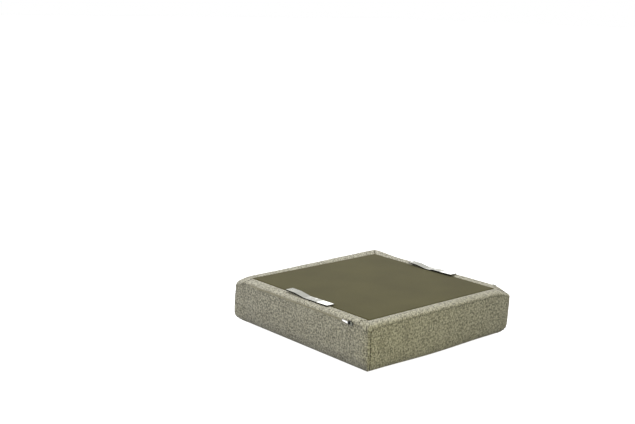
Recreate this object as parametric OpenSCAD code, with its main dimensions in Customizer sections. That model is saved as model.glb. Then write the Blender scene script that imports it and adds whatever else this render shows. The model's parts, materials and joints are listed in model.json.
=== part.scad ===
// Upholstered ottoman base with a storage well, a lift-off deck lid and two zips.
// Millimetres. The origin is on the floor under the middle of the base, +Z is up,
// -Y is the front and +X is the side that the closed zip sliders stand near.

/* [Body] */
// Width of the upholstered body, left to right
body_w = 800; // [700:10:900]
// Depth of the upholstered body, front to back
body_d = 800; // [700:10:900]
// Height of the deck, the top of the lid, above the floor
body_h = 200; // [180:5:260]
// Height of the lip's top under the deck's top
lip_drop = 0.5; // [0.4:0.1:2]
// Width of the upholstered lip, from the outer face to its inner face
lip_w = 49.6; // [46:0.2:64]
// Radius of the outer top edge
top_r = 10; // [9:0.5:11]
// Radius of the outer bottom edge
bottom_r = 60; // [55:1:66]
// Radius of the lip's inner top edge
inner_r = 4; // [3:0.5:6]
// Height of the seam between lip and side panels, down from the deck's top
seam_drop = 13; // [12:0.5:15]

/* [Cloth and foam] */
// Thickness of the woven cover
cover_t = 1.6; // [1.2:0.1:2]
// Width of the cover's margin that is turned under the frame
cover_margin = 30; // [20:1:34]
// Thickness of the lid's cloth
cloth_t = 0.8; // [0.6:0.1:1]
// Width of the lid cloth's margin that is turned under the board
cloth_margin = 40; // [34:1:50]
// Thickness of the storage lining
lining_t = 1; // [0.6:0.1:1.5]
// Thickness of the dust cloth under the base
dust_t = 0.8; // [0.5:0.1:1]
// How far the dust cloth's edge stays inside the flat of the bottom
dust_inset = 6; // [3:1:10]
// Space between the cover and the foam, which the zip tapes use
foam_gap = 1.1; // [1:0.1:1.6]

/* [Frame] */
// Thickness of the four rails
rail_t = 18; // [15:1:20]
// Distance from the lip's top down to the top of the rails
rail_drop = 11.5; // [9:0.5:14]
// Thickness of the floor board of the storage well
floor_t = 9; // [6:1:12]
// Width of the runners under the floor board
runner_w = 60; // [50:1:70]
// Thickness of the runners
runner_t = 12; // [10:1:18]
// Width of the ledges that carry the lid
ledge_w = 25; // [20:1:30]
// Height of the ledges
ledge_h = 25; // [18:1:30]
// Side of the square corner posts
post_w = 25; // [18:1:30]

/* [Lid] */
// Thickness of the lid board
board_t = 18; // [15:1:19]
// Gap round the lid, between its cloth and the lip
lid_gap = 2.5; // [2:0.1:3]
// Gap between the lid and the ledges under it
lid_seat_gap = 0.3; // [0.3:0.1:0.6]

/* [Lift plates] */
// Width of a plate, across the edge of the lid
plate_w = 36; // [32:1:42]
// Thickness of a plate
plate_t = 4; // [3:0.5:5]
// Length of a plate, along the edge of the lid
plate_l = 247; // [240:1:254]
// Length of the flat land that is screwed down
land_l = 28; // [26:1:34]
// Length of the slope from the land up to the left arm
left_slope_l = 55; // [40:1:60]
// Rise of the left arm above the deck
rise_left = 7.5; // [6:0.5:10]
// Length of the slope from the land up to the right arm
right_slope_l = 16; // [12:1:24]
// Rise of the front plate's right arm above the deck
front_rise_right = 1; // [1:0.5:3]
// Rise of the back plate's right arm above the deck
back_rise_right = 4.5; // [3:0.5:6]
// Length of the right arm's turned-up tip
tip_l = 62; // [50:1:64]
// Rise of that tip above the arm
tip_rise = 1.5; // [1:0.5:3]
// Middle of the front plate, right of the lid's middle
front_plate_x = 17; // [10:1:20]
// Middle of its land
front_land_x = 17; // [10:1:24]
// Middle of the back plate, right of the lid's middle
back_plate_x = 5; // [-2:1:10]
// Middle of its land
back_land_x = -8; // [-12:1:0]
// Distance from the lid's edge out to the plate's middle line
plate_out = 4; // [2:0.5:5]

/* [Zips] */
// Distance of the zips' left ends from the body's left face
zip_left_end = 100; // [90:5:160]
// Distance of the zips' right ends from the body's right face
zip_right_end = 75; // [65:5:120]
// Height of one row of teeth
tooth_h = 3; // [2.4:0.1:3.2]
// Depth of the teeth, from their front to their back
tooth_d = 2.8; // [2.4:0.1:3]
// How far the teeth stand out of the cover's face
tooth_out = 0.4; // [0.2:0.1:0.6]
// Gap between the two rows, which the slider's web runs in
row_gap = 1.6; // [1.4:0.1:2]
// Thickness of the zip tape
tape_t = 0.8; // [0.5:0.1:0.8]
// Width of one zip tape
tape_w = 9; // [7:0.5:9]
// Length of the slider
slider_l = 26; // [18:1:28]
// Height of the slider's front plate
slider_h = 18; // [12:0.5:20]
// Thickness of the slider's front plate
slider_front_t = 2.7; // [2:0.1:3]
// Thickness of the slider's back plate
slider_back_t = 2; // [1.5:0.1:2.4]
// Distance of the slider's pin left of the slider's middle
pin_back = 6; // [2:0.5:8]
// Radius of the slider's pin
pin_r = 1; // [0.8:0.1:1.2]
// Length of the pull, from its pin to its end
pull_l = 36; // [30:1:46]
// Height of the pull's tongue
pull_h = 8; // [7:0.5:10]
// Thickness of the pull's tongue
pull_t = 1.6; // [1.2:0.1:2]

/* [Glides and fasteners] */
// Height of the glides under the dust cloth
glide_h = 4; // [4:0.5:8]
// Radius of a glide's disc
glide_r = 16; // [14:1:18]
// Space between a glide's neck and the turned margin of the cover
glide_clear = 2; // [1:0.5:4]
// Shank radius of the wood screws
screw_r = 2; // [1.75:0.05:2.25]
// Head radius of the wood screws
screw_head_r = 4.4; // [4:0.1:4.8]
// Length of the frame screws
screw_l = 45; // [35:1:50]
// Width of a staple's crown
staple_w = 10; // [8:0.5:12]
// Thickness of a staple's wire
staple_t = 0.6; // [0.4:0.1:0.7]
// Largest distance between neighbouring staples
staple_pitch = 60; // [40:5:90]

/* [Hidden] */
$fn = 48;

eps = 0.01;             // overlap of pieces of one solid, and of a cut in a blind face
cut = 1;                // how far a cut runs past an outer face
run_gap = 0.3;          // clearance between parts that move past each other
pin_gap = 0.05;         // radial clearance of the pull on its pin
bore_gap = 0.05;        // radial clearance of a screw in its bore
arc_steps = 10;         // straight steps in a rounded cloth edge
screws_per_side = 3;    // screws along each rail and ledge
screw_head_l = 2.4;     // depth of a screw's countersunk head
rail_screw_end = 25;    // distance of the outer rail screws from a rail's edges
floor_screw_end = 120;  // distance of the outer floor screws from the body's corners
ledge_screw_end = 160;  // distance of the outer ledge screws from the body's corners
plate_tip = 4;          // board left under the tip of a plate's screw
plate_rim = 1.6;        // metal left between a screw's head and the plate's edge
staple_in = 8;          // distance of the staples from the edge that they hold
corner_foam = 2;        // foam left over the floor board's edge, in the rounded bottom edge

half_w = body_w / 2;
half_d = body_d / 2;

// Heights, from the floor up.
dust_z = glide_h;
cover_z = dust_z + dust_t;              // underside of the cover
frame_z = cover_z + cover_t;            // underside of the runners
floor_z = frame_z + runner_t;           // underside of the floor board
well_z = floor_z + floor_t;             // floor of the storage well
lip_z = body_h - lip_drop;              // top of the lip
rail_top = lip_z - rail_drop;
seam_z = body_h - seam_drop;
board_z = body_h - cloth_t - board_t;   // underside of the lid board
lid_z = board_z - cloth_t;              // underside of the lid's cloth
ledge_top = lid_z - lid_seat_gap;
ledge_z = ledge_top - ledge_h;

// Distances inwards from the body's outer face.
lip_in = lip_w;                         // inner face of the lip
rail_in = lip_w - cover_t;              // inner face of the rails
rail_out = rail_in - rail_t;            // outer face of the rails
ledge_in = rail_in + ledge_w;
runner_in = bottom_r + runner_w;
foam_in = cover_t + foam_gap;           // outer face of the foam
foam_round = bottom_r - foam_in - corner_foam;          // how far the frame may reach there
floor_drop = cover_z + bottom_r - floor_z;              // floor board, under the round's centre
floor_out = max(rail_out, bottom_r - sqrt(foam_round * foam_round - floor_drop * floor_drop));
lid_in = lip_in + lid_gap;              // edge of the lid's cloth
board_in = lid_in + cloth_t;            // edge of the lid board
dust_in = bottom_r + dust_inset;

// Zip ends, from the middle of the body.
zip_x0 = zip_left_end - half_w;
zip_x1 = half_w - zip_right_end;
zip_l = zip_x1 - zip_x0;

// Zip heights and depths. Depths count outwards from the cover's face.
slot_h = tooth_h + row_gap / 2 + run_gap;       // half height of the slot in the cover
row_in = row_gap / 2;
tape_front = -cover_t;
tape_back = tape_front - tape_t;
upper_tape_w = min(tape_w, lip_z - seam_z - tooth_h - row_in - foam_in);
tooth_back = tooth_out - tooth_d;
slider_front = tooth_out + run_gap;             // inner face of the front plate
slider_face = slider_front + slider_front_t;
slider_back = min(tape_back, tooth_back) - run_gap;
slider_back_h = 2 * (tooth_h + row_in - run_gap);   // a little less than the two rows
web_t = row_gap - 2 * run_gap;
web_l = 10;
groove_h = slider_back_h / 2 + run_gap;         // half height of the groove in the foam
groove_in = -slider_back + slider_back_t + run_gap;
stop_l = 4;                                     // length of a zip's end stop
stop_gap = 1;                                   // space between the slider and a stop
slider_x = zip_x1 - stop_l - stop_gap - slider_l / 2;
pin_x = slider_x - pin_back;
barrel_wall = 0.95;
barrel_r = pin_r + pin_gap + barrel_wall;
pin_out = slider_face + run_gap + barrel_r;     // pin axis, out of the cover's face
barrel_h = 5.8;
ear_t = 1.4;
ear_l = 8;
shoulder_gap = 2;                               // space between the ears and the wide tongue
neck_l = ear_l / 2 + shoulder_gap;

// Plates.
plate_y = half_d - lid_in + plate_out;          // middle line of a plate, from the body's middle
plate_screw_y = plate_y - plate_w / 2 + screw_head_r + plate_rim;
plate_screw_x = land_l / 2 - screw_head_r - plate_rim;
plate_screw_l = plate_t + cloth_t + board_t - plate_tip;

// A glide sits on the runners, just inside the cover's margin on both faces of its corner.
glide_neck_r = 8;
glide_inset = bottom_r + cover_margin + glide_clear + glide_neck_r;
glide_places = [for (sx = [-1, 1], sy = [-1, 1])
    [sx * (half_w - glide_inset), sy * (half_d - glide_inset)]];
glide_recess = 1;       // depth of a glide screw's head above the floor
glide_screw_l = runner_t + floor_t / 2;

// Points along an arc about [cx, cz], in arc_steps straight steps.
function arc(cx, cz, r, from, to) =
    [for (i = [0:arc_steps]) let (a = from + (to - from) * i / arc_steps)
        [cx + r * cos(a), cz + r * sin(a)]];

// Outlines across one side. The first number is the distance outwards from the outer
// face, so the body lies at negative values, and the second is the height.
function side_line(t) = concat(
    [[-t, seam_z]],
    arc(-bottom_r, cover_z + bottom_r, bottom_r - t, 0, -90),
    [[-bottom_r - cover_margin, cover_z + t]]);
function lip_line(t) = concat(
    [[-lip_in + t, ledge_top]],
    arc(-lip_in + inner_r, lip_z - inner_r, inner_r - t, 180, 90),
    arc(-top_r, lip_z - top_r, top_r - t, 90, 0),
    [[-t, seam_z]]);
function reversed(list) = [for (i = [len(list) - 1:-1:0]) list[i]];

module skin_outline(outer, inner) { polygon(concat(outer, reversed(inner))); }

module foam_outline() {
    polygon(concat(
        [[-rail_in, rail_top],
            [-rail_in, lip_z - foam_in - inner_r],
            [-rail_in + inner_r, lip_z - foam_in]],
        arc(-top_r, lip_z - top_r, top_r - foam_in, 90, 0),
        arc(-bottom_r, cover_z + bottom_r, bottom_r - foam_in, 0, -90),
        [[-bottom_r, floor_z], [-floor_out, floor_z], [-floor_out, well_z],
            [-rail_out, well_z], [-rail_out, rail_top]]));
}

// Sweeps an outline along a side that lies at half_depth and runs to half_length on
// either hand, and mitres both ends at the corners of the body. The side is the front.
module front_side(half_length, half_depth) {
    deep = bottom_r + cover_margin + eps;
    intersection() {
        translate([-half_length, -half_depth, 0]) rotate([90, 0, 90])
            linear_extrude(2 * half_length) mirror([1, 0]) children();
        linear_extrude(body_h) polygon([
            [-half_length, -half_depth], [half_length, -half_depth],
            [half_length - deep, -half_depth + deep], [-half_length + deep, -half_depth + deep]]);
    }
}

// Turns the front side into one of the four sides.
module at_side(side) {
    if (side == "front") children();
    else if (side == "back") rotate([0, 0, 180]) children();
    else if (side == "left") rotate([0, 0, -90]) children();
    else rotate([0, 0, 90]) children();
}
function along(side) = side == "front" || side == "back" ? half_w : half_d;
function away(side) = side == "front" || side == "back" ? half_d : half_w;

// Mirrors the front's zip and plate to the back.
module at_face(side) { if (side == "front") children(); else mirror([0, 1, 0]) children(); }

// Screws.
module screw(l, gap = 0) {
    translate([0, 0, -screw_head_l])
        cylinder(h = screw_head_l, r1 = screw_r + gap, r2 = screw_head_r + gap);
    translate([0, 0, -l]) cylinder(h = l - screw_head_l + eps, r = screw_r + gap);
}
function spread(half) = [for (i = [0:screws_per_side - 1])
    -half + 2 * half * i / (screws_per_side - 1)];
module rail_screw_places() {
    heights = [well_z + rail_screw_end, (well_z + rail_top) / 2, rail_top - rail_screw_end];
    for (sx = [-1, 1], sy = [-1, 1], z = heights)
        translate([sx * (half_w - rail_out - rail_t / 2), sy * (half_d - rail_out), z])
            rotate([sy * -90, 0, 0]) children();
}
module floor_screw_places() {
    for (side = ["front", "back", "left", "right"], x = spread(along(side) - floor_screw_end))
        at_side(side) translate([x, -(away(side) - rail_out - rail_t / 2), floor_z])
            rotate([180, 0, 0]) children();
}
module ledge_screw_places() {
    for (side = ["front", "back", "left", "right"], x = spread(along(side) - ledge_screw_end))
        at_side(side) translate([x, -(away(side) - ledge_in), ledge_z + ledge_h / 2])
            rotate([-90, 0, 0]) children();
}
module glide_screw_places() {
    for (p = glide_places) translate([p[0], p[1], glide_recess]) rotate([180, 0, 0]) children();
}
module plate_screw_places(side) {
    y = side == "front" ? -plate_screw_y : plate_screw_y;
    for (s = [-1, 1]) translate([land_x(side) + s * plate_screw_x, y, body_h + plate_t]) children();
}
function plate_x(side) = side == "front" ? front_plate_x : back_plate_x;
function land_x(side) = side == "front" ? front_land_x : back_land_x;
module frame_bores() {
    rail_screw_places() screw(screw_l, bore_gap);
    floor_screw_places() screw(screw_l, bore_gap);
    ledge_screw_places() screw(ledge_w + rail_t / 2, bore_gap);
}

// Frame.
module rail(side) {
    long = side == "front" || side == "back";
    half_l = long ? half_w - rail_out : half_d - rail_in;
    color("burlywood") difference() {
        at_side(side) translate([-half_l, -(away(side) - rail_out), well_z])
            cube([2 * half_l, rail_t, rail_top - well_z]);
        frame_bores();
    }
}
module floor_board() {
    color("tan") difference() {
        translate([-(half_w - floor_out), -(half_d - floor_out), floor_z])
            cube([2 * (half_w - floor_out), 2 * (half_d - floor_out), floor_t]);
        floor_screw_places() screw(screw_l, bore_gap);
        glide_screw_places() screw(glide_screw_l, bore_gap);
    }
}
module runner(side) {
    long = side == "front" || side == "back";
    half_l = long ? half_w - bottom_r : half_d - runner_in;
    color("peru") difference() {
        at_side(side) translate([-half_l, -(away(side) - bottom_r), frame_z])
            cube([2 * half_l, runner_w, runner_t]);
        glide_screw_places() screw(glide_screw_l, bore_gap);
    }
}
module centre_runner() {
    color("peru") translate([-runner_w / 2, -(half_d - runner_in), frame_z])
        cube([runner_w, 2 * (half_d - runner_in), runner_t]);
}
module ledge(side) {
    long = side == "front" || side == "back";
    half_l = long ? half_w - rail_in : half_d - ledge_in;
    color("peru") difference() {
        at_side(side) translate([-half_l, -(away(side) - rail_in), ledge_z])
            cube([2 * half_l, ledge_w, ledge_h]);
        ledge_screw_places() screw(ledge_w + rail_t / 2, bore_gap);
    }
}
module corner_posts() {
    color("sienna") for (sx = [0, 1], sy = [0, 1]) mirror([sx, 0, 0]) mirror([0, sy, 0])
        translate([half_w - rail_in - post_w, half_d - rail_in - post_w, well_z])
            cube([post_w, post_w, ledge_z - well_z]);
}
module rail_screws() { color("goldenrod") rail_screw_places() screw(screw_l); }
module floor_screws() { color("goldenrod") floor_screw_places() screw(screw_l); }
module ledge_screws() { color("goldenrod") ledge_screw_places() screw(ledge_w + rail_t / 2); }

// Soft parts.
module foam(side) {
    color("khaki") difference() {
        at_side(side) front_side(along(side), away(side)) foam_outline();
        if (side == "front" || side == "back") at_face(side)
            translate([zip_x0 - run_gap, -half_d, seam_z - groove_h])
                cube([zip_l + 2 * run_gap, groove_in, 2 * groove_h]);
    }
}
module zip_slot(side) {
    if (side == "front" || side == "back") at_face(side)
        translate([zip_x0 - run_gap, -half_d - cut, seam_z - slot_h])
            cube([zip_l + 2 * run_gap, top_r + cut, 2 * slot_h]);
}
module cover(side) {
    color("darkgray") difference() {
        at_side(side) front_side(along(side), away(side)) skin_outline(side_line(0), side_line(cover_t));
        zip_slot(side);
    }
}
module lip(side) {
    color("lightgray") difference() {
        at_side(side) front_side(along(side), away(side)) skin_outline(lip_line(0), lip_line(cover_t));
        zip_slot(side);
    }
}
module well_outline(inset) {
    post = post_w + inset;
    difference() {
        square([2 * (half_w - rail_in - inset), 2 * (half_d - rail_in - inset)], center = true);
        for (sx = [-1, 1], sy = [-1, 1])
            translate([sx * (half_w - rail_in - post / 2), sy * (half_d - rail_in - post / 2)])
                square([post + eps, post + eps], center = true);
    }
}
module well_lining() {
    color("dimgray") {
        translate([0, 0, well_z]) linear_extrude(lining_t) well_outline(0);
        translate([0, 0, well_z + lining_t]) linear_extrude(ledge_z - well_z - lining_t)
            difference() { well_outline(0); well_outline(lining_t); }
    }
}
module dust_cloth() {
    color("black") difference() {
        translate([-(half_w - dust_in), -(half_d - dust_in), dust_z])
            cube([2 * (half_w - dust_in), 2 * (half_d - dust_in), dust_t]);
        for (p = glide_places) translate([p[0], p[1], dust_z - cut])
            cylinder(h = dust_t + 2 * cut, r = glide_neck_r + run_gap);
    }
}

// A row of staple crowns along each side, hanging under the height z.
module staples(inset, z) {
    for (side = ["front", "back", "left", "right"]) {
        half_l = along(side) - inset - staple_w;
        n = ceil(2 * half_l / staple_pitch);
        for (i = [0:n]) at_side(side)
            translate([-half_l + 2 * half_l * i / n - staple_w / 2, -(away(side) - inset), z - staple_t])
                cube([staple_w, staple_t, staple_t]);
    }
}
module dust_cloth_staples() { color("silver") staples(dust_in + staple_in, dust_z); }

// Glides.
module glides() {
    color("dimgray") for (p = glide_places) translate([p[0], p[1], 0]) difference() {
        union() {
            cylinder(h = glide_h, r = glide_r);
            cylinder(h = frame_z, r = glide_neck_r);
        }
        translate([0, 0, glide_recess]) rotate([180, 0, 0]) screw(glide_screw_l, bore_gap);
        translate([0, 0, -cut]) cylinder(h = cut + glide_recess + eps, r = screw_head_r + bore_gap);
    }
}
module glide_screws() { color("silver") glide_screw_places() screw(glide_screw_l); }

// Zips.
module zip_tapes(side) {
    color("dimgray") at_face(side) intersection() {
        front_side(half_w, half_d) union() {
            skin_outline(lip_line(cover_t), lip_line(cover_t + tape_t));
            skin_outline(side_line(cover_t), side_line(cover_t + tape_t));
        }
        union() {
            translate([zip_x0, -half_d - cut, seam_z + row_in + tooth_h])
                cube([zip_l, top_r + cut, upper_tape_w]);
            translate([zip_x0, -half_d - cut, seam_z - row_in - tooth_h - tape_w])
                cube([zip_l, top_r + cut, tape_w]);
        }
    }
}
module zip_row(x0, x1) {
    for (s = [-1, 1]) translate([x0, -half_d - tooth_out, seam_z + (s > 0 ? row_in : -row_in - tooth_h)])
        cube([x1 - x0, tooth_d, tooth_h]);
}
module zip_teeth(side) { color("gray") at_face(side) zip_row(zip_x0 + stop_l, zip_x1 - stop_l); }
module zip_stops(side) {
    color("silver") at_face(side) {
        zip_row(zip_x1 - stop_l, zip_x1);
        translate([zip_x0, -half_d - tooth_out, seam_z - row_in - tooth_h])
            cube([stop_l, tooth_d, 2 * (row_in + tooth_h)]);
    }
}
module zip_slider(side) {
    color("silver") at_face(side) translate([slider_x, -half_d, seam_z]) {
        translate([-slider_l / 2, -slider_face, -slider_h / 2])
            cube([slider_l, slider_front_t, slider_h]);
        translate([-slider_l / 2, -slider_back, -slider_back_h / 2])
            cube([slider_l, slider_back_t, slider_back_h]);
        translate([-web_l / 2, -slider_front - eps, -web_t / 2])
            cube([web_l, slider_front - slider_back + 2 * eps, web_t]);
        for (s = [-1, 1]) translate([pin_x - slider_x - ear_l / 2, -pin_out - barrel_r - eps,
                s > 0 ? barrel_h / 2 + run_gap : -barrel_h / 2 - run_gap - ear_t])
            cube([ear_l, pin_out + barrel_r - slider_face + 2 * eps, ear_t]);
        translate([pin_x - slider_x, -pin_out, -barrel_h / 2 - run_gap - eps])
            cylinder(h = barrel_h + 2 * run_gap + 2 * eps, r = pin_r);
    }
}
module zip_pull(side) {
    color("gainsboro") at_face(side) translate([pin_x, -half_d - pin_out, seam_z]) difference() {
        union() {
            translate([0, 0, -barrel_h / 2]) cylinder(h = barrel_h, r = barrel_r);
            translate([-neck_l - eps, -pull_t / 2, -barrel_h / 2]) cube([neck_l + eps, pull_t, barrel_h]);
            translate([-pull_l, -pull_t / 2, -pull_h / 2]) cube([pull_l - neck_l, pull_t, pull_h]);
        }
        translate([0, 0, -barrel_h]) cylinder(h = 2 * barrel_h, r = pin_r + pin_gap);
    }
}

// Lid.
module lid_board() {
    color("burlywood") difference() {
        translate([-(half_w - board_in), -(half_d - board_in), board_z])
            cube([2 * (half_w - board_in), 2 * (half_d - board_in), board_t]);
        for (side = ["front", "back"]) plate_screw_places(side) screw(plate_screw_l, bore_gap);
    }
}
module lid_cloth() {
    open_w = 2 * (half_w - lid_in - cloth_margin);
    open_d = 2 * (half_d - lid_in - cloth_margin);
    color("#6b6650") difference() {
        translate([-(half_w - lid_in), -(half_d - lid_in), lid_z])
            cube([2 * (half_w - lid_in), 2 * (half_d - lid_in), body_h - lid_z]);
        translate([-(half_w - board_in), -(half_d - board_in), board_z])
            cube([2 * (half_w - board_in), 2 * (half_d - board_in), board_t]);
        translate([-open_w / 2, -open_d / 2, lid_z - cut]) cube([open_w, open_d, cloth_t + 2 * cut]);
        for (side = ["front", "back"]) plate_screw_places(side) screw(plate_screw_l, bore_gap);
    }
}
module lid_staples() { color("silver") staples(ledge_in + staple_in, lid_z); }
module lift_plate(side) {
    left = plate_x(side) - plate_l / 2;
    right = plate_x(side) + plate_l / 2;
    land = land_x(side);
    rise = side == "front" ? front_rise_right : back_rise_right;
    line = [[left, rise_left], [land - land_l / 2 - left_slope_l, rise_left], [land - land_l / 2, 0],
        [land + land_l / 2, 0], [land + land_l / 2 + right_slope_l, rise], [right - tip_l, rise],
        [right, rise + tip_rise]];
    y = side == "front" ? -plate_y : plate_y;
    color("whitesmoke") difference() {
        translate([0, y + plate_w / 2, body_h]) rotate([90, 0, 0]) linear_extrude(plate_w)
            polygon(concat(line, [for (p = reversed(line)) [p[0], p[1] + plate_t]]));
        plate_screw_places(side) screw(plate_screw_l, bore_gap);
    }
}
module plate_screws() {
    color("silver") for (side = ["front", "back"]) plate_screw_places(side) screw(plate_screw_l);
}

rail("front");  // front_rail
rail("back");  // back_rail
rail("left");  // left_rail
rail("right");  // right_rail
floor_board();
runner("front");  // front_runner
runner("back");  // back_runner
runner("left");  // left_runner
runner("right");  // right_runner
centre_runner();
ledge("front");  // front_ledge
ledge("back");  // back_ledge
ledge("left");  // left_ledge
ledge("right");  // right_ledge
corner_posts();
rail_screws();
floor_screws();
ledge_screws();
foam("front");  // front_foam
foam("back");  // back_foam
foam("left");  // left_foam
foam("right");  // right_foam
cover("front");  // front_cover
cover("back");  // back_cover
cover("left");  // left_cover
cover("right");  // right_cover
lip("front");  // front_lip
lip("back");  // back_lip
lip("left");  // left_lip
lip("right");  // right_lip
well_lining();
dust_cloth();
dust_cloth_staples();
glides();
glide_screws();
zip_tapes("front");  // front_zip_tapes
zip_tapes("back");  // back_zip_tapes
zip_teeth("front");  // front_zip_teeth
zip_teeth("back");  // back_zip_teeth
zip_stops("front");  // front_zip_stops
zip_stops("back");  // back_zip_stops
lid_board();
lid_cloth();
lid_staples();
lift_plate("front");  // front_lift_plate
lift_plate("back");  // back_lift_plate
plate_screws();
zip_slider("front");  // front_zip_slider
zip_slider("back");  // back_zip_slider
zip_pull("front");  // front_zip_pull
zip_pull("back");  // back_zip_pull
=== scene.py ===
# %% [markdown]
# # A storage ottoman base, dressed for the camera
#
# The base is a low square box: a plywood frame with foam round it, a woven cover in four
# side panels and four lips, a zip on the front and on the back, and a lid that lifts out of
# a storage well by two bent steel plates. The frame comes from the packed CAD model, and
# this lesson gives every piece its real surface. All sizes are in metres.

import json
import math

import bmesh
import bpy
import numpy as np
from mathutils import Matrix, Vector

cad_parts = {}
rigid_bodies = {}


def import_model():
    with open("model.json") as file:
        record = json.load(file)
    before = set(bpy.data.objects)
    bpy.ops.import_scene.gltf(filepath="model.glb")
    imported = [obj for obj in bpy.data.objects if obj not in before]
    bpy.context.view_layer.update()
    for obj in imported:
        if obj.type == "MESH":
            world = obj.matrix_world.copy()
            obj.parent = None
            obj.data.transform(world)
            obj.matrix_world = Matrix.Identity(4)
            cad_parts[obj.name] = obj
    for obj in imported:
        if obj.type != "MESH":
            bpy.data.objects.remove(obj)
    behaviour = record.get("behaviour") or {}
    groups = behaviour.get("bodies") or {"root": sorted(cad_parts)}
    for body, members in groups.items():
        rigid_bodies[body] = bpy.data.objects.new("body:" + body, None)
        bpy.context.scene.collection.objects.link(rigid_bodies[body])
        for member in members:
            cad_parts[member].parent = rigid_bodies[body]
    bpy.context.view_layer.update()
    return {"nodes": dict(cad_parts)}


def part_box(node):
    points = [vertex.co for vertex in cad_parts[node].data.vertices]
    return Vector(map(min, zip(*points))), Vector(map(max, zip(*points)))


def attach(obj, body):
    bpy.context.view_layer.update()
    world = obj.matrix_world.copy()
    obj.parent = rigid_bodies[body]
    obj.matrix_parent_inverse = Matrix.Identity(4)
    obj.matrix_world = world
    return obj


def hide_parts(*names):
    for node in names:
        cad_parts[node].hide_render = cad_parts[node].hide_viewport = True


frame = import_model()

# %% [markdown]
# ## Measures
#
# A dresser works from the frame, so the main measures are read off the CAD nodes' boxes.
# A few that a box can't tell, such as the radius of a rounded edge, are repeated by name.

# %% Measures of the base
MM = 0.001
cover_low, cover_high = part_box("front_cover")
lip_low, lip_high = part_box("front_lip")
deck_low, deck_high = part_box("lid_cloth")

HALF = cover_high.x                     # the base is square, so one half width serves all sides
SEAM_Z = cover_high.z                   # the seam between a side panel and its lip
UNDER_Z = cover_low.z                   # the underside of the cover
LIP_Z = lip_high.z
LIP_FOOT = lip_low.z                    # where the lip's inner face ends, on the ledge
LIP_W = lip_high.y - lip_low.y
DECK_Z = deck_high.z
BOTTOM_R = 60 * MM                      # rounded bottom edge
MARGIN = 30 * MM                        # cover turned under the frame
CORNER_R = 10 * MM                      # rounded upright corner, seen from above
COVER_T = 1.6 * MM
SIDES = ("front", "right", "back", "left")
print("half width", round(HALF, 4), "seam at", round(SEAM_Z, 4), "lip", round(LIP_W, 4), "wide")

# %% [markdown]
# ## Camera
#
# The camera stands off the front right corner, a little above the deck. A long lens keeps
# the sides nearly parallel. It is turned by three angles: round the upright, down, and a
# slight roll.

# %% Camera
def placed(name, data):
    """A new object of the scene, at the origin."""
    made = bpy.data.objects.new(name, data)
    bpy.context.scene.collection.objects.link(made)
    return made


def turned(yaw, pitch, roll):
    """A camera's rotation from its angles in degrees."""
    yaw, pitch, roll = (math.radians(a) for a in (yaw, pitch, roll))
    level = math.cos(pitch)
    back = Vector((math.sin(yaw) * level, -math.cos(yaw) * level, math.sin(pitch)))
    right = (-back).cross(Vector((0, 0, 1))).normalized()
    up = right.cross(-back)
    across = math.cos(roll) * right + math.sin(roll) * up
    upward = -math.sin(roll) * right + math.cos(roll) * up
    return Matrix((across, upward, back)).transposed()


CAMERA_AT = (2.848, -2.778, 1.319)
CAMERA_TURN = (49.04, 11.77, 1.31)      # degrees round the upright, down, and of roll
camera = placed("camera", bpy.data.cameras.new("camera"))
camera.data.lens = 57.0
camera.data.clip_end = 100
camera.matrix_world = Matrix.Translation(CAMERA_AT) @ turned(*CAMERA_TURN).to_4x4()
bpy.context.scene.camera = camera
print("camera at", [round(v, 3) for v in camera.matrix_world.translation])

# %% [markdown]
# ## Shader maths in Python
#
# A material is a tree of nodes. Wrapping a socket in a small class lets plain Python
# operators add the Math nodes, so a weave can be written as the formula that it is. Every
# other node comes from one method, which sets the node's own settings first and then its
# sockets. On it stand a few short methods for the patterns that most finishes share.

# %% A socket that takes Python's operators
class Value:
    """An output of a material's tree, on which Python's operators add Math nodes."""

    def __init__(self, shading, socket):
        self.shading = shading
        self.socket = socket

    def math(self, operation, *others):
        """A Math node with this value as its first socket."""
        return self.shading.node("ShaderNodeMath", {"operation": operation}, (self, *others))

    def __add__(self, other):
        return self.math("ADD", other)

    def __sub__(self, other):
        return self.math("SUBTRACT", other)

    def __rsub__(self, other):
        return self.shading.node("ShaderNodeMath", {"operation": "SUBTRACT"}, (other, self))

    def __mul__(self, other):
        return self.math("MULTIPLY", other)

    def __truediv__(self, other):
        return self.math("DIVIDE", other)

    def __mod__(self, other):
        return self.math("FLOORED_MODULO", other)

    __radd__ = __add__
    __rmul__ = __mul__


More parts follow.
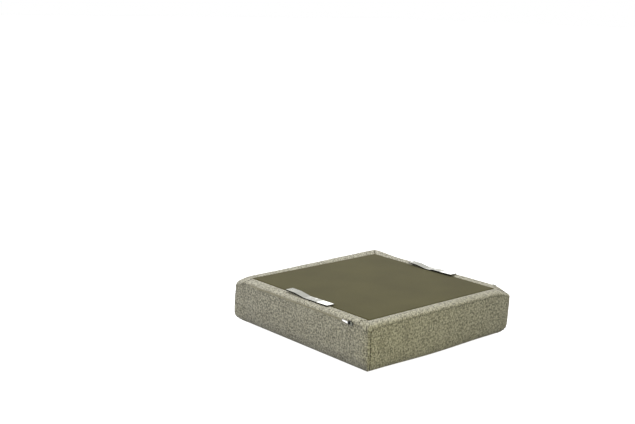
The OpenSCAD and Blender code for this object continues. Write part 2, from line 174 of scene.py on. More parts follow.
# %% A tree of shader nodes
class Shading:
    """A tree of shader nodes, such as a material's or the world's."""

    def __init__(self, tree):
        self.tree = tree

    def put(self, socket, value):
        """Sets or links one socket."""
        if isinstance(value, Value):
            self.tree.links.new(value.socket, socket)
        else:
            socket.default_value = value

    def node(self, kind, settings=None, inputs=(), out=0):
        """Adds a node, sets it, fills its sockets, and returns its output or outputs."""
        made = self.tree.nodes.new(kind)
        for key, value in (settings or {}).items():
            if key == "stops":
                for _ in value[2:]:
                    made.color_ramp.elements.new(0.5)
                for stop, (place, colour) in zip(made.color_ramp.elements, value):
                    stop.position = place
                    stop.color = (*colour, 1)
            else:
                setattr(made, key, value)
        pairs = inputs.items() if isinstance(inputs, dict) else enumerate(inputs)
        for key, value in pairs:
            self.put(made.inputs[key], value)
        if isinstance(out, tuple):
            return [Value(self, made.outputs[o]) for o in out]
        return Value(self, made.outputs[out])

    def mix(self, factor, a, b, blend="MIX"):
        """Mixes two colours, written as three numbers or given as values."""
        a, b = ((*c, 1) if isinstance(c, tuple) else c for c in (a, b))
        settings = {"data_type": "RGBA", "blend_type": blend}
        return self.node("ShaderNodeMix", settings, {0: factor, 6: a, 7: b}, out=2)

    def seen_plainly(self):
        """1 where the camera, a mirror or glass looks at it, 0 where it only lights a thing."""
        rays = ("Is Camera Ray", "Is Glossy Ray", "Is Transmission Ray")
        seen, mirrored, through = self.node("ShaderNodeLightPath", out=rays)
        return (seen + mirrored + through).math("MINIMUM", 1.0)


# %% A finish: one material and the patterns that it is made of
class Finish(Shading):
    """A material with one Principled shader. Its fixed numbers go straight on the shader."""

    def __init__(self, name, **fixed):
        self.material = bpy.data.materials.new(name)
        self.material.use_nodes = True
        super().__init__(self.material.node_tree)
        self.shader = self.tree.nodes["Principled BSDF"]
        for socket, value in fixed.items():
            self.shader.inputs[socket.replace("_", " ")].default_value = value

    def feed(self, socket, value):
        """Links a value that changes over the surface to the shader."""
        self.put(self.shader.inputs[socket], value)

    def place(self):
        """Where a point lies on the object, in metres."""
        return self.node("ShaderNodeTexCoord", out="Object")

    def cloth(self):
        """Where a point lies on the flat cloth, in metres."""
        return self.node("ShaderNodeUVMap", {"uv_map": "cloth"})

    def dim(self, colour, shade):
        """A colour times one number."""
        grey = self.node("ShaderNodeCombineColor", {}, (shade, shade, shade))
        return self.mix(1.0, colour, grey, "MULTIPLY")

    def noise(self, place, per_metre, detail=2.0, roughness=0.5):
        """Cloudy noise about 0.5. per_metre is its fineness, one number or one for each axis."""
        x, y, z = (*per_metre, 1.0)[:3] if isinstance(per_metre, tuple) else (per_metre,) * 3
        scaled = self.node("ShaderNodeVectorMath", {"operation": "MULTIPLY"}, (place, (x, y, z)))
        sockets = {"Vector": scaled, "Scale": 1.0, "Detail": detail, "Roughness": roughness}
        return self.node("ShaderNodeTexNoise", {}, sockets)

    def cells(self, place, per_metre):
        """Distance from the middle of the nearest of many small cells."""
        sockets = {"Vector": place, "Scale": per_metre}
        return self.node("ShaderNodeTexVoronoi", {"feature": "F1"}, sockets, out="Distance")

    def spread(self, value, low, high, to_low=0.0, to_high=1.0):
        """Maps low..high to to_low..to_high, and holds it there."""
        sockets = (value, low, high, to_low, to_high)
        return self.node("ShaderNodeMapRange", {"clamp": True}, sockets)

    def bump(self, height, distance, strength=1.0):
        """Turns a height into relief that is distance deep."""
        sockets = {"Height": height, "Distance": distance, "Strength": strength}
        self.feed("Normal", self.node("ShaderNodeBump", {}, sockets, out="Normal"))


print("a finish can", [name for name in vars(Finish) if name[0] != "_"])

# %% [markdown]
# ## Light and floor
#
# A white studio has one wide lamp overhead and a lot of stray light. The world gives the
# stray light. What the camera, a mirror or glass sees of it is plain white, and the cloth
# is lit by about a third as much. The floor glows for the camera in the same way, so that
# it is as white as the wall behind it without more light on the base.

# %% World
WHITE = (1.0, 1.0, 1.0)
STRAY_LIGHT = (0.36, 0.36, 0.355)


def white_world():
    world = bpy.data.worlds.new("paper_white")
    bpy.context.scene.world = world
    world.use_nodes = True
    sky = Shading(world.node_tree)
    colour = sky.mix(sky.seen_plainly(), STRAY_LIGHT, WHITE)
    sky.put(world.node_tree.nodes["Background"].inputs["Color"], colour)


white_world()
print("world", bpy.context.scene.world.name)


# %% Lamps
def soft_lamp(name, at, towards, size, glow, colour=WHITE):
    """A square or oblong lamp that glows evenly, aimed at a point."""
    data = bpy.data.lights.new(name, "AREA")
    data.shape = "RECTANGLE"
    data.size, data.size_y = size
    data.energy = glow * math.pi * size[0] * size[1]
    data.color = colour
    away = (Vector(at) - Vector(towards)).normalized()
    turn = away.to_track_quat("Z", "Y").to_matrix().to_4x4()
    placed(name, data).matrix_world = Matrix.Translation(at) @ turn


WARM = (1.0, 0.95, 0.02)
soft_lamp("ceiling_lamp", (-0.6, 0.6, 3.0), (0, 0, 0.1), (3.0, 3.0), 1.48)
soft_lamp("front_lamp", (-1.0, -2.9, 1.9), (0, 0, 0.1), (2.0, 1.4), 1.9)
soft_lamp("right_lamp", (2.0, -0.7, 0.9), (0.4, -1.2, 0.1), (0.6, 0.6), 0.8)
soft_lamp("warm_lamp", (2.0, -0.8, 0.8), (0.3, -1.2, 0.1), (1.0, 0.8), 1.6, WARM)
# Two cards stand where the steel plates mirror them towards the camera.
soft_lamp("front_metal_card", (-2.269, 1.981, 0.907), (0.231, -0.199, 0.2), (0.60, 0.45), 1.9)
soft_lamp("back_metal_card", (-1.782, 2.686, 0.739), (0.198, 0.436, 0.2), (0.54, 0.40), 1.9)

# %% Floor
FLOOR_HALF = 60.0
FLOOR_Z = -0.5 * MM


def paper_floor():
    mesh = bpy.data.meshes.new("paper_floor")
    corners = ((-1, -1), (1, -1), (1, 1), (-1, 1))
    mesh.from_pydata([(x * FLOOR_HALF, y * FLOOR_HALF, FLOOR_Z) for x, y in corners], [],
                     [(0, 1, 2, 3)])
    finish = Finish("paper_white_floor", Roughness=0.9, Specular_IOR_Level=0.1,
                    Emission_Strength=1.0)
    seen = finish.seen_plainly()
    finish.feed("Base Color", finish.mix(seen, (0.30, 0.30, 0.295), (0.80, 0.80, 0.80)))
    finish.feed("Emission Color", finish.mix(seen, (0.0, 0.0, 0.0), WHITE))
    mesh.materials.append(finish.material)
    placed("paper_floor", mesh)


paper_floor()
print("floor laid")

# %% [markdown]
# ## The woven cover
#
# The cover is a heavy tweed: thick light and dark yarns, spun unevenly, in a plain weave.
# Seen close by it is a grid of yarns that pass over and under each other. Seen from across
# a room it is a soft speckle of light and dark slubs. The weave is built from the piece's
# own map, which is laid out in metres along and across the cloth, so the yarns follow the
# panel round its edges.

# %% Cover cloth
def woven(finish, pitch):
    """The cloth's map, a plain weave's height, each yarn's number, and which yarn is on top."""
    cloth = finish.cloth()
    u, v, _ = finish.node("ShaderNodeSeparateXYZ", inputs=(cloth,), out=(0, 1, 2))
    u, v = u / pitch, v / pitch
    warp, weft = u.math("FLOOR"), v.math("FLOOR")
    across_warp = ((u - warp) * math.pi).math("SINE")
    across_weft = ((v - weft) * math.pi).math("SINE")
    over = (warp + weft) % 2.0
    warp_high = across_warp * (across_weft * 0.5 + 0.5)
    weft_high = across_weft * (across_warp * 0.5 + 0.5)
    return cloth, over * warp_high + (1 - over) * weft_high, warp, weft, over


TWEED_STOPS = (
    (0.40, (0.25, 0.234, 0.180)),
    (0.466, (0.415, 0.390, 0.305)),
    (0.53, (0.67, 0.630, 0.500)),
    (0.594, (1.0, 0.965, 0.800)),
)


def tweed():
    finish = Finish("cover_tweed", Roughness=0.92, Sheen_Weight=0.35, Sheen_Roughness=0.5,
                    Specular_IOR_Level=0.25)
    cloth, height, warp, weft, over = woven(finish, 3.2 * MM)
    numbered = {"noise_dimensions": "1D"}
    yarn_w = finish.node("ShaderNodeTexWhiteNoise", numbered, {"W": warp})
    yarn_v = finish.node("ShaderNodeTexWhiteNoise", numbered, {"W": weft + 71.0})
    yarn = over * yarn_w + (1 - over) * yarn_v
    slub_v = finish.noise(cloth, (70, 240), 1.5, 0.6)
    slub_w = finish.noise(cloth, (240, 70), 1.5, 0.6)
    fleck = finish.noise(cloth, (150, 112), 2.0, 0.55)
    cloud = finish.noise(cloth, (16, 16))
    speckle = fleck * 0.50 + slub_v * 0.28 + slub_w * 0.28
    tone = speckle + (yarn - 0.5) * 0.07 + (cloud - 0.5) * 0.10
    colour = finish.node("ShaderNodeValToRGB", {"stops": TWEED_STOPS}, (tone,))
    # Painted shade: the cloth is darker where a yarn dips under its neighbour, in the weave's
    # hollows.
    shade = finish.spread(height, 0.0, 0.9, 0.72, 1.05)
    finish.feed("Base Color", finish.dim(colour, shade))
    finish.feed("Roughness", finish.spread(height, 0.0, 1.0, 0.98, 0.86))
    finish.bump(height * 0.7 + slub_v * 0.8 + fleck * 0.9, 1.3 * MM, 0.9)
    return finish.material


TWEED = tweed()
print("made", TWEED.name)

# %% [markdown]
# ## A ring round the base
#
# Every soft piece of the body runs along the same rounded square. A place on it is a
# *share*: -1 to 1 along the front from left to right, 1 to 3 along the right side, and so
# on. A second number says how far out of the outer face a point lies, and a third its
# height. With such a ring, a panel is a grid, and a seam is any line across it.

# %% Places on the ring
def on_ring(share, out, height, half=HALF, corner=CORNER_R):
    """The point at a share of the ring, moved outwards by out, at a height."""
    side = math.floor((share + 1) / 2)
    local = share - 2 * side
    straight = half - max(corner, -out)
    radius = max(corner + out, 0.0)
    run = abs(local) * (straight + radius * math.pi / 4)
    if run <= straight:
        x, y = run, half + out
    else:
        angle = (run - straight) / radius
        x = straight + radius * math.sin(angle)
        y = half - corner + radius * math.cos(angle)
    x, y = math.copysign(x, local), -y
    for _ in range(side % 4):
        x, y = -y, x
    return Vector((x, y, height))


def blend_keys(keys, share):
    """A value that runs smoothly between the keys (share, value) round the ring."""
    share = (share + 1) % 8 - 1
    for (a, low), (b, high) in zip(keys, keys[1:]):
        if a <= share <= b:
            t = (share - a) / (b - a)
            return low + (high - low) * t * t * (3 - 2 * t)
    return keys[-1][1]


def ease(low, high, value):
    """0 below low, 1 above high, and a smooth rise between."""
    t = min(max((value - low) / (high - low), 0.0), 1.0)
    return t * t * (3 - 2 * t)


print("right front corner", [round(v, 4) for v in on_ring(1, 0, 0)])

# %% Grids of cloth
BESIDE_SEAM = [0, 1.2 * MM, 2.6 * MM, 4.5 * MM, 7 * MM, 10.5 * MM]
SEAM_BAND = 15 * MM


def spaced(length, step, fine_end=True):
    """Distances from 0 to length: small steps beside a seam, even ones elsewhere."""
    last = length - SEAM_BAND if fine_end else length
    count = max(1, round((last - SEAM_BAND) / step))
    even = [SEAM_BAND + (last - SEAM_BAND) * k / count for k in range(count + 1)]
    return BESIDE_SEAM + even + ([length - d for d in reversed(BESIDE_SEAM)] if fine_end else [])


def grid_mesh(name, rows, columns, point, chart, material):
    """A grid of rows + 1 by columns + 1 points with a map in metres.

    Seen from outside, rows run downwards and columns to the right.
    """
    spots = [(i, j) for i in range(rows + 1) for j in range(columns + 1)]
    faces = []
    for i in range(rows):
        for j in range(columns):
            a = i * (columns + 1) + j
            faces.append((a, a + columns + 1, a + columns + 2, a + 1))
    mesh = bpy.data.meshes.new(name)
    mesh.from_pydata([point(i, j) for i, j in spots], [], faces)
    layer = mesh.uv_layers.new(name="cloth")
    flat = [chart(i, j) for i, j in spots]
    for loop in mesh.loops:
        layer.data[loop.index].uv = flat[loop.vertex_index]
    mesh.materials.append(material)
    mesh.shade_smooth()
    piece = placed(name, mesh)
    piece["grid"] = (rows, columns)
    return piece


def grid_places(piece):
    """The row and the column of each point of a grid."""
    rows, columns = piece["grid"]
    return np.divmod(np.arange((rows + 1) * (columns + 1)), columns + 1)


def places(piece):
    """The piece's own points as an array."""
    spots = np.empty(len(piece.data.vertices) * 3, np.float32)
    piece.data.vertices.foreach_get("co", spots)
    return spots.reshape(-1, 3).astype(float)


def set_places(piece, spots):
    """Moves the piece's own points."""
    piece.data.vertices.foreach_set("co", spots.astype(np.float32).ravel())
    piece.data.update()


def outwards(piece):
    """The piece's point normals as an array."""
    return np.array([v.normal for v in piece.data.vertices], float)


def thicken(piece, thickness, levels=1):
    """Gives a sheet its thickness inwards, under a smooth surface."""
    if levels:
        smooth = piece.modifiers.new("smooth", "SUBSURF")
        smooth.levels = smooth.render_levels = levels
    wall = piece.modifiers.new("wall", "SOLIDIFY")
    wall.thickness = thickness
    wall.offset = -1
    return piece


# %% [markdown] ## Cloth that swells over foam  Foam pushes a cover out between its seams.
# Blender's Cloth does that by itself: the seams are held, air pressure pushes, and the
# weave pulls back. The result is read from the simulated copy, and no point may move
# further than its own limit, so a zip's slider still passes and the piece keeps its size.

# %% Swelling
CLOTH_SETTINGS = {
    "vertex_group_mass": "held",
    "quality": 5,
    "mass": 0.3,
    "tension_stiffness": 25,
    "compression_stiffness": 15,
    "bending_stiffness": 2,
    "use_pressure": True,
}
STEPS = 20                              # frames of the simulation


def blown_up(piece, held, pressure):
    """The piece's points after air pressure has pushed them out between the held ones."""
    scene = bpy.context.scene
    group = piece.vertex_groups.new(name="held")
    group.add([int(i) for i in held], 1.0, "REPLACE")
    cloth = piece.modifiers.new("air", "CLOTH")
    for setting, value in CLOTH_SETTINGS.items():
        setattr(cloth.settings, setting, value)
    cloth.settings.uniform_pressure_force = pressure
    cloth.settings.effector_weights.gravity = 0
    cloth.collision_settings.use_collision = False
    for number in range(1, STEPS + 1):
        scene.frame_set(number)
    dressed = piece.evaluated_get(bpy.context.evaluated_depsgraph_get())
    after = np.array([v.co for v in dressed.data.vertices], float)
    piece.modifiers.remove(cloth)
    piece.vertex_groups.remove(group)
    scene.frame_set(1)
    return after


def swell(piece, held, limits, pressure):
    """Moves each point out by what the cloth makes of the pressure, up to its own limit."""
    spots, normals = places(piece), outwards(piece)
    gone = ((blown_up(piece, held, pressure) - spots) * normals).sum(axis=1)
    print("  ", piece.name, "wants to move", round(float(gone.max()) / MM, 1), "mm")
    moved = limits * np.tanh(np.maximum(gone, 0) / np.maximum(limits, 1e-6))
    set_places(piece, spots + normals * moved[:, None])


def tuck(piece, gaps, *folds):
    """Draws the cloth in beside its seams.

    gaps is each point's distance from a seam, and a fold is its depth and its width.
    """
    drawn = sum(depth * np.clip(1 - gaps / width, 0, 1) ** 2 for depth, width in folds)
    set_places(piece, places(piece) - outwards(piece) * drawn[:, None])


# %% [markdown]
# ## How the corners settle
#
# Foam is softest where three panels meet, so the top corners of such a base sink and round
# off, and one more than the others. One field moves everything near a corner by the same
# amount, so cloth, foam and stitches settle together.

# %% Settled corners
CORNERS = {                             # share: sink, draw in, reach, sag of the seam
    -1: (9 * MM, 4 * MM, 40 * MM, 13 * MM),
    1: (4 * MM, 3 * MM, 40 * MM, 8 * MM),
    3: (20 * MM, 6 * MM, 48 * MM, 0.0),
    5: (1 * MM, 4 * MM, 40 * MM, 4 * MM),
}
LEAN = {                                # share: heights, and how far out the corner stands there
    -1: ((0.005, 0.020, 0.035, 0.060, 0.110, 0.187), (0, 8 * MM, 12 * MM, 8 * MM, 6 * MM, 7 * MM)),
    3: ((0.005, 0.060, 0.120, 0.160, 0.187), (0, -6 * MM, -3 * MM, 3 * MM, 4 * MM)),
}
SEAM_BELT = ((0.125, 0.178, 0.190, 0.1985), (0, 1, 1, 0))    # heights, and how much sags there
SINK_FROM, SINK_OVER = 0.100, 0.085     # the corner sinks above this height, fully this far up


def settle(piece):
    """Sinks and draws in the top corners of a piece, and leans its upright corners."""
    spots = places(piece)
    belt = np.interp(spots[:, 2], *SEAM_BELT)
    for share, (sink, draw, reach, sag) in CORNERS.items():
        corner = on_ring(share, 0, 0, corner=0.0)
        gap = np.hypot(spots[:, 0] - corner.x, spots[:, 1] - corner.y)
        top = np.clip((spots[:, 2] - SINK_FROM) / SINK_OVER, 0, 1)
        near = np.exp(-(gap / reach) ** 2)
        pull = near * top * top * (3 - 2 * top)
        outward = Vector((corner.x, corner.y)).normalized()
        push = -draw * pull
        if share in LEAN:
            push = push + near * np.interp(spots[:, 2], *LEAN[share])
        spots[:, 0] += outward.x * push
        spots[:, 1] += outward.y * push
        spots[:, 2] -= sink * pull + sag * belt * near
    set_places(piece, spots)


# %% Where the zips open the seam
zip_low, zip_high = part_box("front_zip_stops")
ZIP_X0, ZIP_X1 = zip_low.x, zip_high.x
ZIP_SIDES = ("front", "back")
SLOT = (zip_high.z - zip_low.z) / 2 + 0.3 * MM      # half height of the open seam over the teeth
SLOT_END = 5 * MM                       # how far past the zip the seam closes
UNSEWN = 8 * MM                         # an open seam draws its cloth in as if it were so far off


def side_at(share):
    """The side that a share lies on."""
    return SIDES[math.floor((share + 1) / 2) % 4]


def opening(share):
    """How far each of the seam's edges stands off its middle at a share, from 0 to SLOT."""
    if side_at(share) not in ZIP_SIDES:
        return 0.0
    x = on_ring(share, 0, 0).x
    return SLOT * ease(ZIP_X0 - SLOT_END, ZIP_X0, x) * (1 - ease(ZIP_X1, ZIP_X1 + SLOT_END, x))


print("zip from", round(ZIP_X0, 4), "to", round(ZIP_X1, 4), "and the seam opens by", round(SLOT, 4))

# %% [markdown]
# ## Side panels
#
# Each side is one panel of cloth: down the face, round the bottom edge and under the
# frame, where it is stapled. It is sewn to its neighbours at the upright corners and to its
# lip at the top, so it is widest between the seams and drawn in at them.

# %% Side panels
DOWN = SEAM_Z - UNDER_Z - BOTTOM_R      # length of cloth down the flat of the face
ROUND = BOTTOM_R * math.pi / 2
PANEL_L = DOWN + ROUND + MARGIN
PANEL_DOWN = spaced(PANEL_L, 6 * MM, fine_end=False)
PANEL_ALONG = spaced(2 * HALF, 6.5 * MM)
SEAM_SHIFT = {1: 11 * MM}               # share: how far past its corner an upright seam lies
PANEL_SWELL, PANEL_PRESSURE = 5.0 * MM, 4.0
BAG = 4.5 * MM                          # how far the right panel bags over its bottom edge
HELD_EDGE = 1 * MM
SEAM_FOLD = (0.5 * MM, 4 * MM)          # depth and width of the cloth's dip beside a seam
PANEL_JOIN_FOLDS = ((2.0 * MM, 7 * MM), (1.4 * MM, 3.0 * MM))


def panel_line(along, top):
    """(out, height) at a length of cloth below the panel's top edge."""
    if along < DOWN:
        return 0.0, top + (UNDER_Z + BOTTOM_R - top) * along / DOWN
    if along < DOWN + ROUND:
        angle = (along - DOWN) / BOTTOM_R
        return BOTTOM_R * (math.cos(angle) - 1), UNDER_Z + BOTTOM_R * (1 - math.sin(angle))
    return -BOTTOM_R - (along - DOWN - ROUND), UNDER_Z


def hill(values, low, high):
    """0 outside low..high and a smooth hill between them."""
    t = np.clip((np.asarray(values) - low) / (high - low), 0, 1)
    return np.sin(np.pi * t) ** 2


def panel_limits(heights, along, edge, side):
    """How far each point of a side panel may swell."""
    crown = PANEL_SWELL * np.sin(np.pi * np.clip(along / (DOWN + ROUND * 0.8), 0, 1)) ** 0.6
    if side in ZIP_SIDES:               # flat near the zip, so that its slider passes
        crown *= np.clip((0.177 - heights) / 0.040, 0, 1) ** 0.7
    return crown * np.clip(edge / 0.05, 0, 1) ** 0.5


def panel_share(number, j):
    """The share of a column of a side panel."""
    first, last = 2 * number - 1, 2 * number + 1
    start = first + SEAM_SHIFT.get(first, 0) / HALF
    end = last + SEAM_SHIFT.get(last, 0) / HALF
    return start + (end - start) * PANEL_ALONG[j] / (2 * HALF)


def sew(piece, seam_gap, open_by, edge, join_folds):
    """Draws a cloth in at the seam between panel and lip and at its joins, and settles it."""
    unsewn = np.array(open_by) / SLOT * UNSEWN
    tuck(piece, seam_gap + unsewn, SEAM_FOLD)
    tuck(piece, edge, *join_folds)
    settle(piece)


def side_panel(number, side):
    shares = [panel_share(number, j) for j in range(len(PANEL_ALONG))]

    def panel_point(i, j):
        out, height = panel_line(PANEL_DOWN[i], SEAM_Z - opening(shares[j]))
        return on_ring(shares[j], out, height)

    def panel_chart(i, j):
        return (shares[j] * HALF, -PANEL_DOWN[i])

    rows, columns = len(PANEL_DOWN) - 1, len(PANEL_ALONG) - 1
    piece = grid_mesh(f"{side}_side_panel", rows, columns, panel_point, panel_chart, TWEED)
    row, column = grid_places(piece)
    along, across = np.array(PANEL_DOWN)[row], np.array(PANEL_ALONG)[column]
    edge = np.minimum(across, 2 * HALF - across)
    held = np.flatnonzero((row == 0) | (edge < HELD_EDGE) | (along > DOWN + ROUND * 0.9))
    limits = panel_limits(places(piece)[:, 2], along, edge, side)
    swell(piece, held, limits, PANEL_PRESSURE)
    if side == "right":
        low = hill(along, DOWN - 10 * MM, DOWN + ROUND * 1.35)
        bag = BAG * low * hill(across, 0.02, 0.72)
        set_places(piece, places(piece) + outwards(piece) * bag[:, None])
    sew(piece, along, [opening(shares[j]) for j in column], edge, PANEL_JOIN_FOLDS)
    return piece


side_panels = {side: side_panel(number, side) for number, side in enumerate(SIDES)}
print("side panels", len(side_panels), "of", len(side_panels["front"].data.polygons), "faces")

# %% [markdown]
# ## Lips
#
# The lip is a narrow roll of the same cloth that borders the lid: up from the seam, round
# the top edge, across the foam, and down inside to the ledge. The four lips meet in seams
# at the corners of the lid. Two of those seams don't run out to the corner of the base but
# land on the front, because the side lips are wrapped round it.

# %% Lips
ROLL_OUT, ROLL_UP = 18 * MM, LIP_Z - SEAM_Z         # the rounded top edge, a quarter of an ellipse
INNER_R = 3.5 * MM
WALL = LIP_Z - INNER_R - LIP_FOOT                   # lengths of cloth up, across and over
FLAT = LIP_W - INNER_R - ROLL_OUT
ROLL = math.pi / 2 * math.sqrt((ROLL_OUT ** 2 + ROLL_UP ** 2) / 2)
LIP_L = WALL + INNER_R * math.pi / 2 + FLAT + ROLL
LIP_UP = [LIP_L - d for d in reversed(spaced(LIP_L, 3 * MM, fine_end=False))]
LIP_ALONG = spaced(1.0, 8 * MM)                     # shares of the lip's length
LIP_SWELL, LIP_PRESSURE = 2.5 * MM, 6.0
LIP_JOIN_FOLDS = ((1.8 * MM, 7 * MM), (1.2 * MM, 3.0 * MM))
FOOT_ROWS = 3                                       # rows that are held at the ledge
CROWN = (                               # share: how high the foam lifts the lip
    (-1, -2 * MM), (0, 0.5 * MM), (1, 2 * MM), (2, 2 * MM), (3, 0.5 * MM), (4.6, 0.5 * MM),
    (5, 9 * MM), (5.5, 6 * MM), (6, 2 * MM), (6.5, -1.5 * MM), (7, -2 * MM),
)
PLATES = {side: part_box(f"{side}_lift_plate") for side in ZIP_SIDES}
PRESSED = (5 * MM, 30 * MM)             # the lip is flat so far past a plate, and free from there


def under_plate(share):
    """1 where a lift plate presses the lip flat, 0 clear of it."""
    side = side_at(share)
    if side not in PLATES:
        return 0.0
    low, high = PLATES[side]
    flat, free = PRESSED
    x = on_ring(share, 0, 0).x
    return ease(low.x - free, low.x - flat, x) * (1 - ease(high.x + flat, high.x + free, x))


def lip_line(along, share):
    """(out, height) at a length of cloth from the lip's foot, over its top, to its seam."""
    if along < WALL:
        return -LIP_W, LIP_FOOT + along
    along -= WALL
    if along < INNER_R * math.pi / 2:
        angle = along / INNER_R
        return -LIP_W + INNER_R * (1 - math.cos(angle)), LIP_Z - INNER_R * (1 - math.sin(angle))
    along -= INNER_R * math.pi / 2
    crown = blend_keys(CROWN, share) * (1 - under_plate(share))
    if along < FLAT:
        lift = crown * math.sin(math.pi / 2 * along / FLAT) ** 0.8
        return -LIP_W + INNER_R + along, LIP_Z + lift
    last = math.asin(opening(share) / (ROLL_UP + crown))
    angle = math.pi / 2 + (last - math.pi / 2) * (along - FLAT) / ROLL
    return ROLL_OUT * (math.cos(angle) - 1), SEAM_Z + (ROLL_UP + crown) * math.sin(angle)


# How far round the ring each lip's ends lie from the corner: at the lid, and at the outer face.
LIP_ENDS = {-1: (11 * MM, 52 * MM), 1: (-4 * MM, -50 * MM), 3: (0, 8 * MM), 5: (0, 0)}


def seam_share(corner, along):
    """The share of the seam at a corner, at a length of cloth from the lip's foot."""
    at_lid, at_face = LIP_ENDS[corner]
    bend = ease(WALL, WALL + FLAT + ROLL * 0.7, along) ** 0.8
    return corner + (at_lid + (at_face - at_lid) * bend) / HALF


def lip_limits(heights, along, edge, pressed, side):
    """How far each point of a lip may swell."""
    crown = LIP_SWELL * np.sin(np.pi * np.clip((along - WALL) / (LIP_L - WALL), 0, 1)) ** 0.7
    crown = crown * np.clip(edge / 0.03, 0, 1) ** 0.5
    if side in ZIP_SIDES:
        crown *= np.clip((heights - 0.196) / 0.004, 0, 1) * (1 - pressed)
    return crown


def lip_roll(number, side):
    first, last = 2 * number - 1, 2 * number + 1

    def lip_share(i, j):
        start = seam_share(first, LIP_UP[i])
        end = seam_share(last if last < 7 else -1, LIP_UP[i]) + (8 if last == 7 else 0)
        return start + (end - start) * LIP_ALONG[j]

    def lip_point(i, j):
        share = lip_share(i, j)
        out, height = lip_line(LIP_UP[i], share)
        return on_ring(share, out, height)

    def lip_chart(i, j):
        return (lip_share(i, j) * HALF, LIP_L - LIP_UP[i])

    rows, columns = len(LIP_UP) - 1, len(LIP_ALONG) - 1
    piece = grid_mesh(f"{side}_lip_roll", rows, columns, lip_point, lip_chart, TWEED)
    row, column = grid_places(piece)
    shares = [lip_share(i, j) for i, j in zip(row, column)]
    along, across = np.array(LIP_UP)[row], np.array(LIP_ALONG)[column] * 2 * HALF
    edge = np.minimum(across, 2 * HALF - across)
    held = np.flatnonzero((row == rows) | (row <= FOOT_ROWS) | (edge < HELD_EDGE))
    pressed = np.array([under_plate(share) for share in shares])
    limits = lip_limits(places(piece)[:, 2], along, edge, pressed, side)
    swell(piece, held, limits, LIP_PRESSURE)
    sew(piece, LIP_L - along, [opening(share) for share in shares], edge, LIP_JOIN_FOLDS)
    return piece


lips = {side: lip_roll(number, side) for number, side in enumerate(SIDES)}
print("lips", len(lips))

# %% [markdown]
# ## Foam under the cover
#
# Under each panel lies one strip of foam, bent over the rail, down the side and round the
# bottom edge. It is a closed tube along the ring with mitred ends: a row of outlines whose
# points are joined, and a face over each end. Small hard parts are made so too, so the
# tools for it come first. The foam settles at the corners as the cover does.

# %% Closed shapes from rings of points
def tube(rings):
    """Points and faces of a shape that runs through rings of equally many points."""
    n, last = len(rings[0]), (len(rings) - 1) * len(rings[0])
    faces = []
    for k in range(0, last, n):
        faces += [(k + s, k + (s + 1) % n, k + (s + 1) % n + n, k + s + n) for s in range(n)]
    ends = [tuple(range(n)), tuple(reversed(range(last, last + n)))]
    return [tuple(spot) for ring in rings for spot in ring], faces + ends


def closed_mesh(name, spots, faces, material, smooth=True):
    """A mesh whose faces are turned outwards."""
    mesh = bpy.data.meshes.new(name)
    mesh.from_pydata(spots, [], faces)
    shape = bmesh.new()
    shape.from_mesh(mesh)
    bmesh.ops.remove_doubles(shape, verts=shape.verts, dist=1e-6)
    bmesh.ops.recalc_face_normals(shape, faces=shape.faces)
    shape.to_mesh(mesh)
    shape.free()
    mesh.materials.append(material)
    if smooth:
        mesh.shade_smooth()
    return mesh


print("a tube through 3 squares has", len(tube([[(0, 0, 0)] * 4] * 3)[1]), "faces")

# %% Foam material
def foam_finish():
    finish = Finish("pale_foam", Roughness=0.95, Specular_IOR_Level=0.1)
    place = finish.place()
    age = finish.spread(finish.noise(place, 18.0, 3.0), 0.35, 0.7)
    finish.feed("Base Color", finish.mix(age, (0.78, 0.72, 0.48), (0.66, 0.58, 0.34)))
    finish.bump(finish.cells(place, 700.0), 0.8 * MM, 0.6)
    return finish.material


FOAM = foam_finish()
print("made", FOAM.name)

# %% Foam strips
FOAM_BACK = -30 * MM                    # the foam's inner face, against the rail
FOAM_TOP, FOAM_FOOT, FOAM_FLOOR = 188 * MM, 100 * MM, 18.4 * MM
UNDER_COVER = 3.0 * MM                  # gap that leaves room for the cover and its tucks


def foam_outline(share):
    """The strip's outline at a share: (out, height), up the inside and down the outside."""
    start = WALL - 4 * MM
    lip = [lip_line(start + (LIP_L - start) * k / 16, share) for k in range(16)]
    line = lip + [panel_line((DOWN + ROUND) * k / 18, SEAM_Z) for k in range(19)]
    zipped = opening(share) / SLOT
    inset = []
    for k, (out, height) in enumerate(line):
        before, after = line[max(k - 1, 0)], line[min(k + 1, len(line) - 1)]
        along = Vector((after[0] - before[0], after[1] - before[1])).normalized()
        deep = UNDER_COVER + 1.6 * MM * math.exp(-((height - SEAM_Z) / (9 * MM)) ** 2)
        if out > FOAM_BACK:             # a groove behind the zip
            groove = ease(165 * MM, 174 * MM, height) * (1 - ease(194 * MM, 197 * MM, height))
            deep += 6.5 * MM * zipped * groove
        inset.append((out + along.y * deep, height - along.x * deep))
    inset[0] = (inset[1][0], FOAM_TOP)
    return inset + [(2 * FOAM_BACK, FOAM_FLOOR), (FOAM_BACK, FOAM_FLOOR), (FOAM_BACK, FOAM_FOOT),
                    (FOAM_BACK, FOAM_TOP)]


def foam_strip(side, number, columns=60):
    rings = []
    for j in range(columns + 1):
        share = 2 * (number + j / columns) - 1
        rings.append([on_ring(share, out, height) for out, height in foam_outline(share)])
    name = f"{side}_foam_strip"
    strip = placed(name, closed_mesh(name, *tube(rings), FOAM))
    settle(strip)
    return strip


foams = {side: foam_strip(side, number) for number, side in enumerate(SIDES)}
print("foam strips", len(foams))

# %% [markdown]
# ## Deck cloth
#
# The lid is a plywood board in one piece of felted cloth, pulled flat over the top, folded
# over the edges and stapled underneath. A ring of rows from the middle outwards gives the
# fold its small radius, and the map is the cloth laid flat.

# %% Felt
FELT_STOPS = (
    (0.36, (0.094, 0.083, 0.034)),
    (0.50, (0.122, 0.109, 0.045)),
    (0.64, (0.150, 0.134, 0.055)),
)


